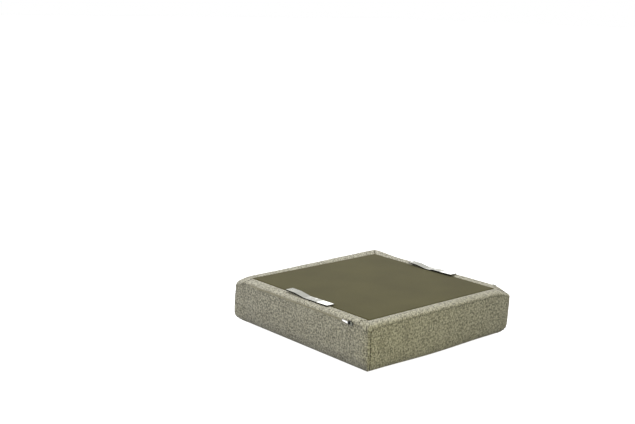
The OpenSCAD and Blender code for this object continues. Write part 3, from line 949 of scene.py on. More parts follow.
def felt():
    finish = Finish("olive_deck_felt", Roughness=0.95, Sheen_Weight=0.12, Sheen_Roughness=0.6,
                    Specular_IOR_Level=0.15)
    cloth = finish.cloth()
    fibre = finish.noise(cloth, (900, 900), 3.0, 0.6)
    fluff = finish.noise(cloth, (160, 160), 3.0, 0.6)
    patch = finish.noise(cloth, (5, 5), 2.0, 0.45)
    tone = fibre * 0.35 + fluff * 0.35 + patch * 0.30
    finish.feed("Base Color", finish.node("ShaderNodeValToRGB", {"stops": FELT_STOPS}, (tone,)))
    finish.feed("Roughness", finish.spread(fluff, 0.3, 0.7, 0.90, 1.0))
    finish.bump(fibre + fluff * 0.6, 0.4 * MM, 0.5)
    return finish.material


FELT = felt()
print("made", FELT.name)

# %% Rows from a middle point
LID_HALF = deck_high.x
LID_UNDER = deck_low.z
LID_CORNER = 1.2 * MM                   # rounding of the lid's upright corners
TOP_FOLD, UNDER_FOLD = 2.5 * MM, 1.5 * MM
LID_MARGIN = 40.8 * MM                  # cloth turned under the board


def deck_line():
    """(out, height, flat) from the middle of the top, over the edge, to the turned margin."""
    line = [(-LID_HALF * (1 - (i / 14) ** 0.8), DECK_Z) for i in range(14)]
    line += [(-10 * MM, DECK_Z), (-5 * MM, DECK_Z)]
    for step in range(5):
        angle = math.pi / 2 * (1 - step / 4)
        line.append((TOP_FOLD * (math.cos(angle) - 1), DECK_Z - TOP_FOLD * (1 - math.sin(angle))))
    for step in range(4):
        angle = math.pi / 2 * step / 3
        rise = UNDER_FOLD * (1 - math.sin(angle))
        line.append((UNDER_FOLD * (math.cos(angle) - 1), LID_UNDER + rise))
    line += [(-15 * MM, LID_UNDER), (-LID_MARGIN, LID_UNDER)]
    flat, laid = -LID_HALF, []
    for (out, height), (before, level) in zip(line, [line[0]] + line):
        flat += math.hypot(out - before, height - level)
        laid.append((out, height, flat))
    return laid


def merge(piece):
    """Joins points that lie on one another, such as a pole or a closed ring's two ends."""
    shape = bmesh.new()
    shape.from_mesh(piece.data)
    bmesh.ops.remove_doubles(shape, verts=shape.verts, dist=1e-6)
    shape.to_mesh(piece.data)
    shape.free()


def deck_cloth():
    """The lid's cloth, and the width of the square that it is cut from."""
    line = deck_line()
    side = spaced(2 * LID_HALF, 12 * MM)[:-1]
    shares = [2 * number - 1 + along / LID_HALF for number in range(4) for along in side] + [7]

    def point(i, j):
        out, height, _ = line[i]
        return on_ring(shares[j], out, height, half=LID_HALF, corner=LID_CORNER)

    def chart(i, j):
        return on_ring(shares[j], line[i][2], 0, half=LID_HALF, corner=LID_CORNER).xy

    piece = grid_mesh("deck_panel_cloth", len(line) - 1, len(shares) - 1, point, chart, FELT)
    merge(piece)
    return thicken(piece, 0.8 * MM, levels=0), 2 * (LID_HALF + line[-1][2])


deck, deck_flat = deck_cloth()
print("deck cloth cut to", round(deck_flat, 3), "square")

# %% [markdown]
# ## Lining of the well
#
# The well is lined with a thin dark bag of non-woven cloth. It stands against the rails,
# goes round the corner posts, and lies loosely on the floor, so it has shallow wrinkles.
# Its outline is a plus, and it is walked round in equal steps, from the middle of the
# floor outwards and then up the walls.

# %% Non-woven cloths
def nonwoven(name, dark, light, per_metre):
    """Pressed fibres, with the small dimples that hold them together."""
    finish = Finish(name, Roughness=0.85, Specular_IOR_Level=0.3)
    place = finish.place()
    press = finish.spread(finish.cells(place, per_metre), 0.15, 0.35)
    strands = finish.noise(place, 500, 3.0, 0.65)
    finish.feed("Base Color", finish.mix(strands * 0.6 + press * 0.4, dark, light))
    finish.feed("Roughness", finish.spread(strands, 0.3, 0.7, 0.75, 0.95))
    finish.bump(press + strands * 0.5, 0.3 * MM, 0.6)
    return finish.material


LINING = nonwoven("well_lining_cloth", (0.040, 0.038, 0.032), (0.085, 0.082, 0.070), 330.0)
DUST = nonwoven("black_dust_cloth", (0.012, 0.012, 0.012), (0.034, 0.034, 0.034), 260.0)
print("made", LINING.name, DUST.name)

# %% Lining bag
lining_low, lining_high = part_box("well_lining")
POST = 25 * MM                          # width of a corner post, which the lining goes round
LINING_T = 1 * MM


def plus_ring(step):
    """Points round the well at about equal steps, and the length walked to each."""
    a = lining_high.x - LINING_T
    b = a - POST
    corners = [(-b, -a), (b, -a), (b, -b), (a, -b), (a, b), (b, b),
               (b, a), (-b, a), (-b, b), (-a, b), (-a, -b), (-b, -b)]
    spots, walked, length = [], [], 0.0
    for (x0, y0), (x1, y1) in zip(corners, corners[1:] + corners[:1]):
        run = math.hypot(x1 - x0, y1 - y0)
        count = max(2, round(run / step))
        for k in range(count):
            spots.append((x0 + (x1 - x0) * k / count, y0 + (y1 - y0) * k / count))
            walked.append(length + run * k / count)
        length += run
    return spots + spots[:1], walked + [length]


def lining_bag():
    """The bag, and the area of its walls laid flat."""
    ring, walked = plus_ring(16 * MM)
    floor_z, deep = lining_low.z + LINING_T, lining_high.z - lining_low.z - LINING_T
    floor_rows, wall_rows = 18, 14

    def wave(x, y):
        folds = math.sin(31 * x + 9 * math.sin(13 * y)) * math.sin(27 * y + 6 * math.sin(17 * x))
        return 0.5 + 0.5 * folds

    def point(i, j):
        x, y = ring[j]
        if i <= floor_rows:
            t = i / floor_rows
            lift = 2.2 * MM * wave(x * t, y * t) * min(1, 4 * (1 - t))
            return Vector((x * t, y * t, floor_z + lift))
        t = (i - floor_rows) / wall_rows
        slack = 2.4 * MM * wave(walked[j] * 1.3, t * 0.16) * math.sin(math.pi * t)
        away = Vector((-x if abs(x) > abs(y) else 0, -y if abs(y) >= abs(x) else 0)).normalized()
        return Vector((x + away.x * slack, y + away.y * slack, floor_z + deep * t))

    def chart(i, j):
        x, y = ring[j]
        if i <= floor_rows:
            return x * i / floor_rows, y * i / floor_rows
        return walked[j], 0.5 + deep * (i - floor_rows) / wall_rows

    rows, columns = floor_rows + wall_rows, len(ring) - 1
    piece = grid_mesh("well_lining_bag", rows, columns, point, chart, LINING)
    merge(piece)
    return thicken(piece, LINING_T, levels=0), walked[-1] * deep


lining, wall_area = lining_bag()
lining_area = wall_area + 4 * (lining_high.x ** 2 - POST ** 2)
print("lining area", round(lining_area, 3), "square metres")

# %% [markdown]
# ## Dust cloth
#
# Black dust cloth closes the underside. It is stapled all round and hangs a little between
# the runners. The four glides pass through round holes, which are cut out of a grid and
# then drawn to a circle.

# %% Dust cloth with glide holes
dust_low, dust_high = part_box("dust_cloth")
GLIDE_R, GLIDE_HOLE_R = 16 * MM, 9 * MM
GLIDE_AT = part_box("glides")[1].x - GLIDE_R
DUST_T = 0.8 * MM
CLEAR_OF_FLOOR = 2.2 * MM


def cut_glide_hole(shape, middle):
    """Takes the cells near a glide's middle out of the grid, and draws their rim to a circle."""
    inside = [f for f in shape.faces
              if (f.calc_center_median().xy - middle).length < GLIDE_HOLE_R - 0.5 * MM]
    bmesh.ops.delete(shape, geom=inside, context="FACES")
    for v in shape.verts:
        if v.is_boundary and (v.co.xy - middle).length < GLIDE_R:
            v.co.xy = middle + (v.co.xy - middle).normalized() * GLIDE_HOLE_R


def dust_panel():
    cells, half = 84, dust_high.x

    def chart(i, j):
        return half * (2 * j / cells - 1), half * (2 * i / cells - 1)

    def point(i, j):
        x, y = chart(i, j)
        slack = math.sin(math.pi * min(1, max(0, abs(x) - 0.03) / 0.25)) * (1 - (y / half) ** 6)
        ripple = 0.5 + 0.25 * math.sin(90 * x) + 0.25 * math.sin(83 * y)
        loose = min(1, max(0, 284 * MM - max(abs(x), abs(y))) / 0.06)
        return Vector((x, y, dust_low.z - loose * (1.3 * MM * slack + 0.4 * MM * ripple)))

    piece = grid_mesh("underside_dust_cloth", cells, cells, point, chart, DUST)
    shape = bmesh.new()
    shape.from_mesh(piece.data)
    for cx in (-GLIDE_AT, GLIDE_AT):
        for cy in (-GLIDE_AT, GLIDE_AT):
            cut_glide_hole(shape, Vector((cx, cy)))
    bmesh.ops.reverse_faces(shape, faces=shape.faces)
    shape.to_mesh(piece.data)
    shape.free()
    for v in piece.data.vertices:
        v.co.z = max(v.co.z, CLEAR_OF_FLOOR)
    return thicken(piece, DUST_T, levels=0)


dust = dust_panel()
print("dust cloth", len(dust.data.polygons), "faces")

# %% [markdown]
# ## Things that repeat
#
# Screws, staples, stitches and zip teeth are the same small shape over and over. Geometry
# Nodes put an item on each point of a mesh or a path. The tree has named inputs for its
# sizes, so one tree serves for many pieces, and its result is made a plain mesh at once.

# %% A Geometry Nodes tree with named inputs
KINDS = {float: "NodeSocketFloat", int: "NodeSocketInt", Vector: "NodeSocketVector"}


class Recipe:
    """A Geometry Nodes tree, whose named sizes can be set for each piece it makes."""

    def __init__(self, name, **sizes):
        self.tree = bpy.data.node_groups.new(name, "GeometryNodeTree")
        face = self.tree.interface
        face.new_socket("Geometry", in_out="INPUT", socket_type="NodeSocketGeometry")
        face.new_socket("Geometry", in_out="OUTPUT", socket_type="NodeSocketGeometry")
        self.ids = {}
        for label, value in sizes.items():
            socket = face.new_socket(label, in_out="INPUT", socket_type=KINDS[type(value)])
            socket.default_value = value
            self.ids[label] = socket.identifier
        for label, kind in (("item", "NodeSocketObject"), ("material", "NodeSocketMaterial")):
            self.ids[label] = face.new_socket(label, in_out="INPUT", socket_type=kind).identifier
        self.given = self.tree.nodes.new("NodeGroupInput")
        self.result = self.tree.nodes.new("NodeGroupOutput")

    def size(self, label):
        return self.given.outputs[label]

    def node(self, kind, settings=None, inputs=None, out=0):
        """Adds a node, sets it, fills its sockets, and returns its output."""
        made = self.tree.nodes.new(kind)
        for key, value in (settings or {}).items():
            setattr(made, key, value)
        for key, value in (inputs or {}).items():
            if isinstance(value, bpy.types.NodeSocket):
                self.tree.links.new(value, made.inputs[key])
            else:
                made.inputs[key].default_value = value
        return made.outputs[out]

    def end(self, points, **sockets):
        """Puts the item on the points, makes the copies real and gives them their material."""
        given = {"Object": self.size("item")}
        item = self.node("GeometryNodeObjectInfo", inputs=given, out="Geometry")
        sockets = {"Points": points, "Instance": item, **sockets}
        copies = self.node("GeometryNodeInstanceOnPoints", inputs=sockets)
        real = self.node("GeometryNodeRealizeInstances", inputs={"Geometry": copies})
        sockets = {"Geometry": real, "Material": self.size("material")}
        finished = self.node("GeometryNodeSetMaterial", inputs=sockets)
        self.tree.links.new(finished, self.result.inputs[0])
        return self

    def make(self, name, base, item_mesh, **sizes):
        """A plain mesh of the items on base, which is used up. The items keep their material."""
        item = bpy.data.objects.new(item_mesh.name, item_mesh)
        given = {"material": item_mesh.materials[0], "item": item, **sizes}
        layer = base.modifiers.new("repeat", "NODES")
        layer.node_group = self.tree
        for label, value in given.items():
            layer[self.ids[label]] = value
        graph = bpy.context.evaluated_depsgraph_get()
        mesh = bpy.data.meshes.new_from_object(base.evaluated_get(graph))
        mesh.name = name
        bpy.data.objects.remove(item)
        base.modifiers.remove(layer)
        use_up(base)
        return placed(name, mesh)


def use_up(piece):
    """Removes a piece that has been made into another one, with its mesh."""
    spare = piece.data
    bpy.data.objects.remove(piece)
    bpy.data.meshes.remove(spare)


def point_cloud(name, spots, turns):
    """Loose points with the turn that the item takes on each of them."""
    mesh = bpy.data.meshes.new(name)
    mesh.from_pydata(spots, [], [])
    layer = mesh.attributes.new("turn", "FLOAT_VECTOR", "POINT")
    layer.data.foreach_set("vector", [v for turn in turns for v in turn])
    return placed(name, mesh)


def items_on_points():
    recipe = Recipe("items_on_points")
    kind = {"data_type": "FLOAT_VECTOR"}
    turn = recipe.node("GeometryNodeInputNamedAttribute", kind, {"Name": "turn"})
    return recipe.end(recipe.size("Geometry"), Rotation=turn)


ITEMS_ON_POINTS = items_on_points()
print("recipe", ITEMS_ON_POINTS.tree.name, sorted(ITEMS_ON_POINTS.ids))

# %% Metal finishes
def metal(name, colour, roughness, scratch, worn=None):
    """A metal whose fine marks run along the piece's X, and whose roughness drifts."""
    finish = Finish(name, Metallic=1.0)
    place = finish.place()
    marks = finish.noise(place, (60, 2600, 2600), 3.0, 0.6)
    haze = finish.noise(place, 55, 3.0)
    drift = finish.spread(haze * 0.6 + marks * 0.4, 0.36, 0.62)
    finish.feed("Base Color", finish.mix(drift, worn or tuple(0.82 * c for c in colour), colour))
    finish.feed("Roughness", finish.spread(haze, 0.3, 0.7, roughness * 0.8, roughness * 1.25))
    finish.bump(marks, 0.05 * MM, scratch)
    return finish.material


ZINC = metal("zinc_plated_steel", (0.62, 0.61, 0.57), 0.34, 0.5, (0.50, 0.48, 0.40))
PLATE = metal("satin_nickel_plate", (0.47, 0.47, 0.42), 0.07, 0.08, (0.42, 0.42, 0.37))
CHROME = metal("bright_nickel_pull", (0.88, 0.88, 0.88), 0.12, 0.1)
# Near-black metal of the slider and the pull's eye: painted shade for the shadow in the slider's
# arch and round the pin.
PAINTED_SHADE_METAL = metal("gunmetal_slider", (0.036, 0.035, 0.033), 0.32, 0.2, (0.024, 0.023, 0.022))
print("metals", ZINC.name, PLATE.name, CHROME.name, PAINTED_SHADE_METAL.name)

# %% [markdown]
# ## Screws
#
# Every screw has a flat head with a cross recess on a plain shank. The item is drawn once,
# pointing down from its head. The places come from the CAD screws: each is one island of
# its node's mesh, and the head is at the island's wide end.

# %% One screw
SCREW_R, HEAD_R, HEAD_DEEP = 2.0 * MM, 4.4 * MM, 2.4 * MM
RECESS_DEEP, RECESS_ARM, RECESS_HALF = 1.3 * MM, 2.5 * MM, 0.45 * MM
RIM_DEGREES = (45, 12, -12, -45, -78, -102, -135, -168, 168, 135, 102, 78)


def screw_item(length):
    """A countersunk screw: its head's face at the origin, its point down Z.

    The recess and the rim have twelve points each, so one tube runs from the bottom of the
    recess over the head and down the shank.
    """
    arm, wide = RECESS_ARM, RECESS_HALF
    cross = [(wide, wide), (arm, wide), (arm, -wide), (wide, -wide), (wide, -arm), (-wide, -arm),
             (-wide, -wide), (-arm, -wide), (-arm, wide), (-wide, wide), (-wide, arm), (wide, arm)]
    rim = [(HEAD_R * math.cos(a), HEAD_R * math.sin(a)) for a in np.radians(RIM_DEGREES)]
    shank = SCREW_R / HEAD_R
    layers = (
        (cross, 0.45, -RECESS_DEEP),
        (cross, 1.0, 0.0),
        (rim, 0.985, 0.0),
        (rim, 1.0, -0.25 * MM),
        (rim, shank, -HEAD_DEEP),
        (rim, shank, 3 * MM - length),
        (rim, 0.06, -length),
    )
    rings = [[(x * grow, y * grow, z) for x, y in outline] for outline, grow, z in layers]
    return closed_mesh("screw_item", *tube(rings), ZINC, smooth=False)


print("a screw item has", len(screw_item(16 * MM).polygons), "faces")

# %% Screws in the places of the plain ones
def islands(node):
    """The loose parts of a CAD node, each as an array of points, in the order of the mesh."""
    shape = bmesh.new()
    shape.from_mesh(frame["nodes"][node].data)
    bmesh.ops.remove_doubles(shape, verts=shape.verts, dist=1e-6)
    seen, found = set(), []
    for start in shape.verts:
        if start in seen:
            continue
        seen.add(start)
        queue, part = [start], []
        while queue:
            v = queue.pop()
            part.append(tuple(v.co))
            for edge in v.link_edges:
                other = edge.other_vert(v)
                if other not in seen:
                    seen.add(other)
                    queue.append(other)
        found.append(np.array(part))
    shape.free()
    return found


def screws_of(node, name):
    """Detailed screws in the places of a node's plain ones."""
    spots, turns, lengths = [], [], set()
    for part in islands(node):
        low, high = part.min(axis=0), part.max(axis=0)
        axis = int(np.argmax(high - low))
        middle = (low + high) / 2
        spread = np.linalg.norm(np.delete(part - middle, axis, axis=1), axis=1)
        head = part[np.argmax(spread), axis]
        sign = 1 if head > middle[axis] else -1
        spot = middle.copy()
        spot[axis] = high[axis] if sign > 0 else low[axis]
        way = Vector([sign * float(k == axis) for k in range(3)])
        turn = way.to_track_quat("Z", "Y").to_matrix()
        euler = (turn @ Matrix.Rotation(0.4 + 1.7 * len(spots), 3, "Z")).to_euler()
        spots.append(tuple(spot))
        turns.append(tuple(euler))
        lengths.add(round(float(high[axis] - low[axis]), 5))
    print(name, len(spots), "screws", sorted(lengths))
    return ITEMS_ON_POINTS.make(name, point_cloud("spots", spots, turns), screw_item(max(lengths)))


screw_sets = {
    f"{joint}_screws": screws_of(f"{joint}_screws", f"{joint}_screw_set")
    for joint in ("rail", "floor", "ledge", "glide", "plate")
}

# %% [markdown]
# ## Staples
#
# The deck cloth is stapled under the lid, and the dust cloth under the base. A staple's
# crown is a short round wire with bent ends, so the item has only a few dozen faces.

# %% Staples
STAPLE_HALF, STAPLE_RISE, STAPLE_R = 5 * MM, 0.55 * MM, 0.33 * MM


def staple_item(sides=6):
    """A closed wire along a line of points in the XZ plane."""
    bend = STAPLE_HALF - 0.2 * MM
    line = [(-STAPLE_HALF, STAPLE_RISE), (-bend, 0), (bend, 0), (STAPLE_HALF, STAPLE_RISE)]
    rings = []
    for k, (x, z) in enumerate(line):
        before, after = line[max(k - 1, 0)], line[min(k + 1, len(line) - 1)]
        along = Vector((after[0] - before[0], after[1] - before[1])).normalized()
        ring = []
        for s in range(sides):
            angle = 2 * math.pi * (s + 0.5) / sides
            out = STAPLE_R * math.cos(angle)
            ring.append((x - along.y * out, STAPLE_R * math.sin(angle), z + along.x * out))
        rings.append(ring)
    return closed_mesh("staple_item", *tube(rings), ZINC)


def staples_of(node, name):
    """Wire staples in the places of a node's plain blocks, each a little askew."""
    spots, turns = [], []
    for part in islands(node):
        low, high = part.min(axis=0), part.max(axis=0)
        along_x = high[0] - low[0] > high[1] - low[1]
        askew = 0.05 * math.sin(7.0 * len(spots))
        spots.append(tuple((low + high) / 2))
        turns.append((0, 0, (0 if along_x else math.pi / 2) + askew))
    print(name, len(spots), "staples")
    return ITEMS_ON_POINTS.make(name, point_cloud("spots", spots, turns), staple_item())


dust_staples = staples_of("dust_cloth_staples", "dust_cloth_staple_row")
lid_staple_set = staples_of("lid_staples", "lid_staple_row")

# %% [markdown]
# ## Stitches
#
# A seam in tweed shows as a dark dotted line where the thread sinks between the yarns into
# shade. The thread here is near black, painted shade that deepens that line on top of the
# real shade of the seam's crease. The thread follows a path, so this tree resamples the path
# by its pitch and turns one short stitch along it. Half of each stitch sinks into the cloth.

# %% Thread
def thread():
    finish = Finish("seam_thread", Roughness=0.8, Sheen_Weight=0.1)
    twist = finish.noise(finish.place(), 900)
    # Near-black thread: painted shade for the dark line of the seam, on top of the real shade of
    # its crease.
    finish.feed("Base Color", finish.mix(twist, (0.012, 0.011, 0.009), (0.045, 0.042, 0.035)))
    finish.bump(twist, 0.2 * MM, 0.5)
    return finish.material


THREAD = thread()


def items_on_path():
    recipe = Recipe("items_on_path", pitch=0.008, scale=1.0)
    path = recipe.node("GeometryNodeMeshToCurve", inputs={"Mesh": recipe.size("Geometry")})
    steps = {"Curve": path, "Length": recipe.size("pitch")}
    evenly = recipe.node("GeometryNodeCurveToPoints", {"mode": "LENGTH"}, steps)
    scales = {axis: recipe.size("scale") for axis in "XYZ"}
    grown = recipe.node("ShaderNodeCombineXYZ", inputs=scales)
    return recipe.end(evenly, Rotation=evenly.node.outputs["Rotation"], Scale=grown)


ITEMS_ON_PATH = items_on_path()
print("recipe", ITEMS_ON_PATH.tree.name, sorted(ITEMS_ON_PATH.ids))

# %% Stitches along paths
STITCH, STITCH_R = 5.5 * MM, 0.5 * MM


def circle(radius, height, count, x=0.0, y=0.0):
    """A level ring of points."""
    angles = [2 * math.pi * k / count for k in range(count)]
    return [(x + radius * math.cos(a), y + radius * math.sin(a), height) for a in angles]


def stitch_item():
    """A slim low-poly capsule along Z."""
    profile = ((-0.5, 0.35), (-0.32, 1.0), (0.32, 1.0), (0.5, 0.35))
    rings = [circle(STITCH_R * wide, STITCH * along, 6) for along, wide in profile]
    return closed_mesh("stitch_item", *tube(rings), THREAD)


def stitches(name, paths, scale, gap):
    """Stitches along several open paths, with a gap between one and the next."""
    spots, edges = [], []
    for path in paths:
        first = len(spots)
        spots += path
        edges += [(first + k, first + k + 1) for k in range(len(path) - 1)]
    mesh = bpy.data.meshes.new("path")
    mesh.from_pydata(spots, edges, [])
    pitch = STITCH * scale + gap
    return ITEMS_ON_PATH.make(name, placed("path", mesh), stitch_item(), pitch=pitch, scale=scale)


# %% Where the threads run
THREAD_ON = {                           # how far off its cloth each thread lies
    "seam": -0.15 * MM,
    "panel_join": 3.0 * MM,
    "lip_join": 2.7 * MM,
}


def lifted(piece, picked, out, facing=0):
    """Some of a grid piece's points, moved along the normals of points that many further on."""
    spots, normals = places(piece), outwards(piece)
    return [tuple(spots[k] + normals[k + facing] * out) for k in picked]


def join_line(piece, first, last, out, facing):
    """The first column of a grid piece, from one row to another, lifted out of its tuck."""
    rows, columns = piece["grid"]
    picked = [i * (columns + 1) for i in range(rows + 1)][first:last]
    return lifted(piece, picked, out, facing)


def lip_seams(number, side):
    """The seam between a panel and its lip, without the stretch that the zip opens."""
    columns = side_panels[side]["grid"][1]
    line = lifted(side_panels[side], range(columns + 1, 2 * columns + 2), THREAD_ON["seam"])
    whole, part = [], []
    for j, spot in enumerate(line):
        if opening(panel_share(number, j)) > 0.2 * MM:
            whole.append(part)
            part = []
        else:
            part.append(spot)
    return [path for path in whole + [part] if len(path) > 1]


print("seam lines of the front", [len(line) for line in lip_seams(0, "front")])

# %% Seam threads
def joined(name, pieces):
    """One piece from several, with their maps kept."""
    shape = bmesh.new()
    for piece in pieces:
        shape.from_mesh(piece.data)
    mesh = bpy.data.meshes.new(name)
    shape.to_mesh(mesh)
    shape.free()
    mesh.materials.append(pieces[0].data.materials[0])
    for piece in pieces:
        use_up(piece)
    return placed(name, mesh)


threads = {}
for number, side in enumerate(SIDES):
    joins = [join_line(side_panels[side], 0, 36, THREAD_ON["panel_join"], 7),
             join_line(lips[side], 6, None, THREAD_ON["lip_join"], 6)]
    scale = 1.0 if side in ZIP_SIDES else 1.6
    rows = [stitches("seam_thread", lip_seams(number, side), scale, 2.5 * MM),
            stitches("join_thread", joins, 1.9, 2.0 * MM)]
    threads[side] = joined(f"{side}_seam_threads", rows)
    print(threads[side].name, len(threads[side].data.polygons), "faces")

# %% [markdown]
# ## Zips
#
# A long zip on the front and on the back opens the seam between panel and lip. It was
# dyed to match, and its teeth and tapes are lighter than the cloth, painted light that makes
# up for the shade in the open seam, so all that catches the eye is the slider and its bright
# pull. Two tapes lie behind the cloth's edges, a row of moulded teeth stands on each, and a
# stop closes each end. The front zip is built first and the back one is its mirror image.

# %% Zip finishes
def tape_cloth():
    finish = Finish("zip_tape_weave", Roughness=0.9, Specular_IOR_Level=0.2)
    cloth, height, *_ = woven(finish, 0.7 * MM)
    fleck = finish.noise(cloth, (400, 400))
    # The tape is lighter than the cloth: painted light that makes up for the shade in the open
    # seam.
    colour = finish.mix(fleck, (0.47, 0.44, 0.365), (0.70, 0.66, 0.555))
    # Painted shade: the tape is darker in the hollows of its weave.
    finish.feed("Base Color", finish.dim(colour, finish.spread(height, 0.0, 0.9, 0.7, 1.0)))
    finish.bump(height, 0.25 * MM, 0.7)
    return finish.material


def moulded(name, dark, light, roughness, grain):
    """Moulded plastic: nearly even, with a fine spark-eroded grain."""
    finish = Finish(name, Specular_IOR_Level=0.4)
    place = finish.place()
    fine = finish.noise(place, 1500)
    wide = finish.noise(place, 40, 3.0)
    finish.feed("Base Color", finish.mix(finish.spread(wide, 0.3, 0.7), dark, light))
    finish.feed("Roughness", finish.spread(wide, 0.3, 0.7, roughness - 0.06, roughness + 0.08))
    finish.bump(fine, 0.05 * MM, grain)
    return finish.material


TAPE = tape_cloth()
# The teeth are lighter than the cloth: painted light that makes up for the shade in the open seam
# and between the teeth.
TEETH = moulded("zip_tooth_plastic", (0.70, 0.665, 0.54), (0.84, 0.80, 0.65), 0.5, 0.3)
GLIDE = moulded("black_glide_plastic", (0.020, 0.020, 0.020), (0.038, 0.038, 0.038), 0.45, 0.6)
print("zip finishes", TAPE.name, TEETH.name)

# %% A mirror image
def mirrored(piece, name):
    """The front piece and its mirror image at the back, with its faces turned outwards again."""
    copy = piece.copy()
    copy.data = piece.data.copy()
    copy.name = copy.data.name = name
    bpy.context.scene.collection.objects.link(copy)
    copy.data.transform(Matrix.Scale(-1, 4, (0, 1, 0)))
    copy.data.flip_normals()
    return {"front": piece, "back": copy}


# %% Tapes
TAPE_IN = 1.65 * MM                     # how far behind the cloth's face a tape lies
TAPE_W, TAPE_T = 9 * MM, 0.7 * MM
TAPE_TURN = 0.62                        # angle that the upper tape takes round the lip's edge
LOWER_TAPE_Z = 183.2 * MM


def tape_pair(columns=90, rows=4):
    def along(j):
        return ZIP_X0 + (ZIP_X1 - ZIP_X0) * j / columns

    def lower(i, j):
        return Vector((along(j), -HALF + TAPE_IN, LOWER_TAPE_Z - TAPE_W * i / rows))

    def upper(i, j):
        share = along(j) / HALF
        rise = ROLL_UP + blend_keys(CROWN, share) * (1 - under_plate(share))
        angle = math.asin(SLOT / rise) + TAPE_TURN * (rows - i) / rows
        in_y, in_z = TAPE_IN * math.cos(angle), TAPE_IN * math.sin(angle)
        return Vector((along(j), -HALF - ROLL_OUT * (math.cos(angle) - 1) + in_y,
                       SEAM_Z + rise * math.sin(angle) - in_z))

    def chart(i, j):
        return (along(j), -TAPE_W * i / rows)

    pieces = [grid_mesh("tape", rows, columns, point, chart, TAPE) for point in (lower, upper)]
    pair = joined("front_zip_tape_pair", pieces)
    pair.data.shade_smooth()
    return thicken(pair, TAPE_T, levels=0)


tapes = mirrored(tape_pair(), "back_zip_tape_pair")
print("tapes", [t.name for t in tapes.values()])

# %% Teeth
teeth_low, teeth_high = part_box("front_zip_teeth")
TOOTH_PITCH, TOOTH_HALF, TOOTH_HIGH = 2.6 * MM, 0.85 * MM, 3.0 * MM
TOOTH_EASE, TOOTH_CUT = 0.35 * MM, 0.3 * MM
TOOTH_ROWS_Z = (184.7 * MM, 189.3 * MM)


def items_in_line():
    recipe = Recipe("items_in_line", count=10, first=Vector((0, 0, 0)), step=Vector((1, 0, 0)))
    sizes = {"Count": "count", "Start Location": "first", "Offset": "step"}
    sockets = {socket: recipe.size(label) for socket, label in sizes.items()}
    return recipe.end(recipe.node("GeometryNodeMeshLine", {"mode": "OFFSET"}, sockets))


ITEMS_IN_LINE = items_in_line()


def tooth_item():
    """A moulded tooth round the tape's edge, with eased corners."""
    deep, rings = teeth_high.y - teeth_low.y, []
    for y, inset in ((0, TOOTH_EASE), (TOOTH_EASE, 0), (deep - TOOTH_EASE, 0), (deep, TOOTH_EASE)):
        a, b = TOOTH_HALF - inset, TOOTH_HIGH / 2 - inset
        c, d = a - TOOTH_CUT, b - TOOTH_CUT
        outline = ((a, d), (c, b), (-c, b), (-a, d), (-a, -d), (-c, -b), (c, -b), (a, -d))
        rings.append([(x, y, z) for x, z in outline])
    return closed_mesh("tooth_item", *tube(rings), TEETH, smooth=False)


def tooth_rows():
    count = int((teeth_high.x - teeth_low.x - 2 * MM) / TOOTH_PITCH)
    rows = []
    for number, z in enumerate(TOOTH_ROWS_Z):
        first = (teeth_low.x + 1.2 * MM + number * TOOTH_PITCH / 2, teeth_low.y, z)
        start = point_cloud("row", [(0, 0, 0)], [(0, 0, 0)])
        rows.append(ITEMS_IN_LINE.make("row", start, tooth_item(), count=count, first=first,
                                       step=(TOOTH_PITCH, 0.0, 0.0)))
    print("teeth", 2 * count)
    return joined("front_zip_tooth_rows", rows)


teeth = mirrored(tooth_rows(), "back_zip_tooth_rows")

# %% Small forged shapes
def rounded(x0, x1, z0, z1, radius, steps=5):
    """A rounded rectangle, walked round from its upper right corner."""
    spots = []
    low_x, high_x, low_z, high_z = x0 + radius, x1 - radius, z0 + radius, z1 - radius
    middles = ((high_x, high_z), (low_x, high_z), (low_x, low_z), (high_x, low_z))
    for quarter, (x, z) in enumerate(middles):
        for step in range(steps + 1):
            angle = math.pi / 2 * (quarter + step / steps)
            spots.append((x + radius * math.cos(angle), z + radius * math.sin(angle)))
    return spots


SHARP = math.radians(50)                # an edge that turns more than this stays crisp


class Forging:
    """Closed shapes stacked from rings of points, gathered into one piece.

    A face's tone is the number of its material.
    """

    def __init__(self):
        self.spots, self.faces, self.tones = [], [], []

    def stack(self, rings, tones=None):
        """Adds a tube, with a tone for each step from ring to ring."""
        n, first = len(rings[0]), len(self.spots)
        spots, faces = tube(rings)
        steps = tones or [0] * (len(rings) - 1)
        self.spots += spots
        self.faces += [tuple(first + k for k in face) for face in faces]
        self.tones += [tone for tone in steps for _ in range(n)] + [0, steps[-1]]

    def plate(self, x0, x1, z0, z1, radius, layers, tones=None):
        """Layers of (depth in y, inset) of one rounded plate."""
        rings = []
        for y, inset in layers:
            corner = max(radius - inset, 0.15 * MM)
            outline = rounded(x0 + inset, x1 - inset, z0 + inset, z1 - inset, corner)
            rings.append([(x, y, z) for x, z in outline])
        self.stack(rings, tones)

    def finished(self, name, *materials):
        piece = placed(name, closed_mesh(name, self.spots, self.faces, materials[0]))
        for material in materials[1:]:
            piece.data.materials.append(material)
        if len(piece.data.polygons) == len(self.tones):
            piece.data.polygons.foreach_set("material_index", self.tones)
        piece.data.set_sharp_from_angle(angle=SHARP)
        return piece


# %% Stops
STOP_METAL = metal("lacquered_stop_metal", (0.46, 0.44, 0.36), 0.45, 0.3)
STOP_LONG, STOP_EASE, HALF_STOP_HIGH = 4 * MM, 0.35 * MM, 3 * MM


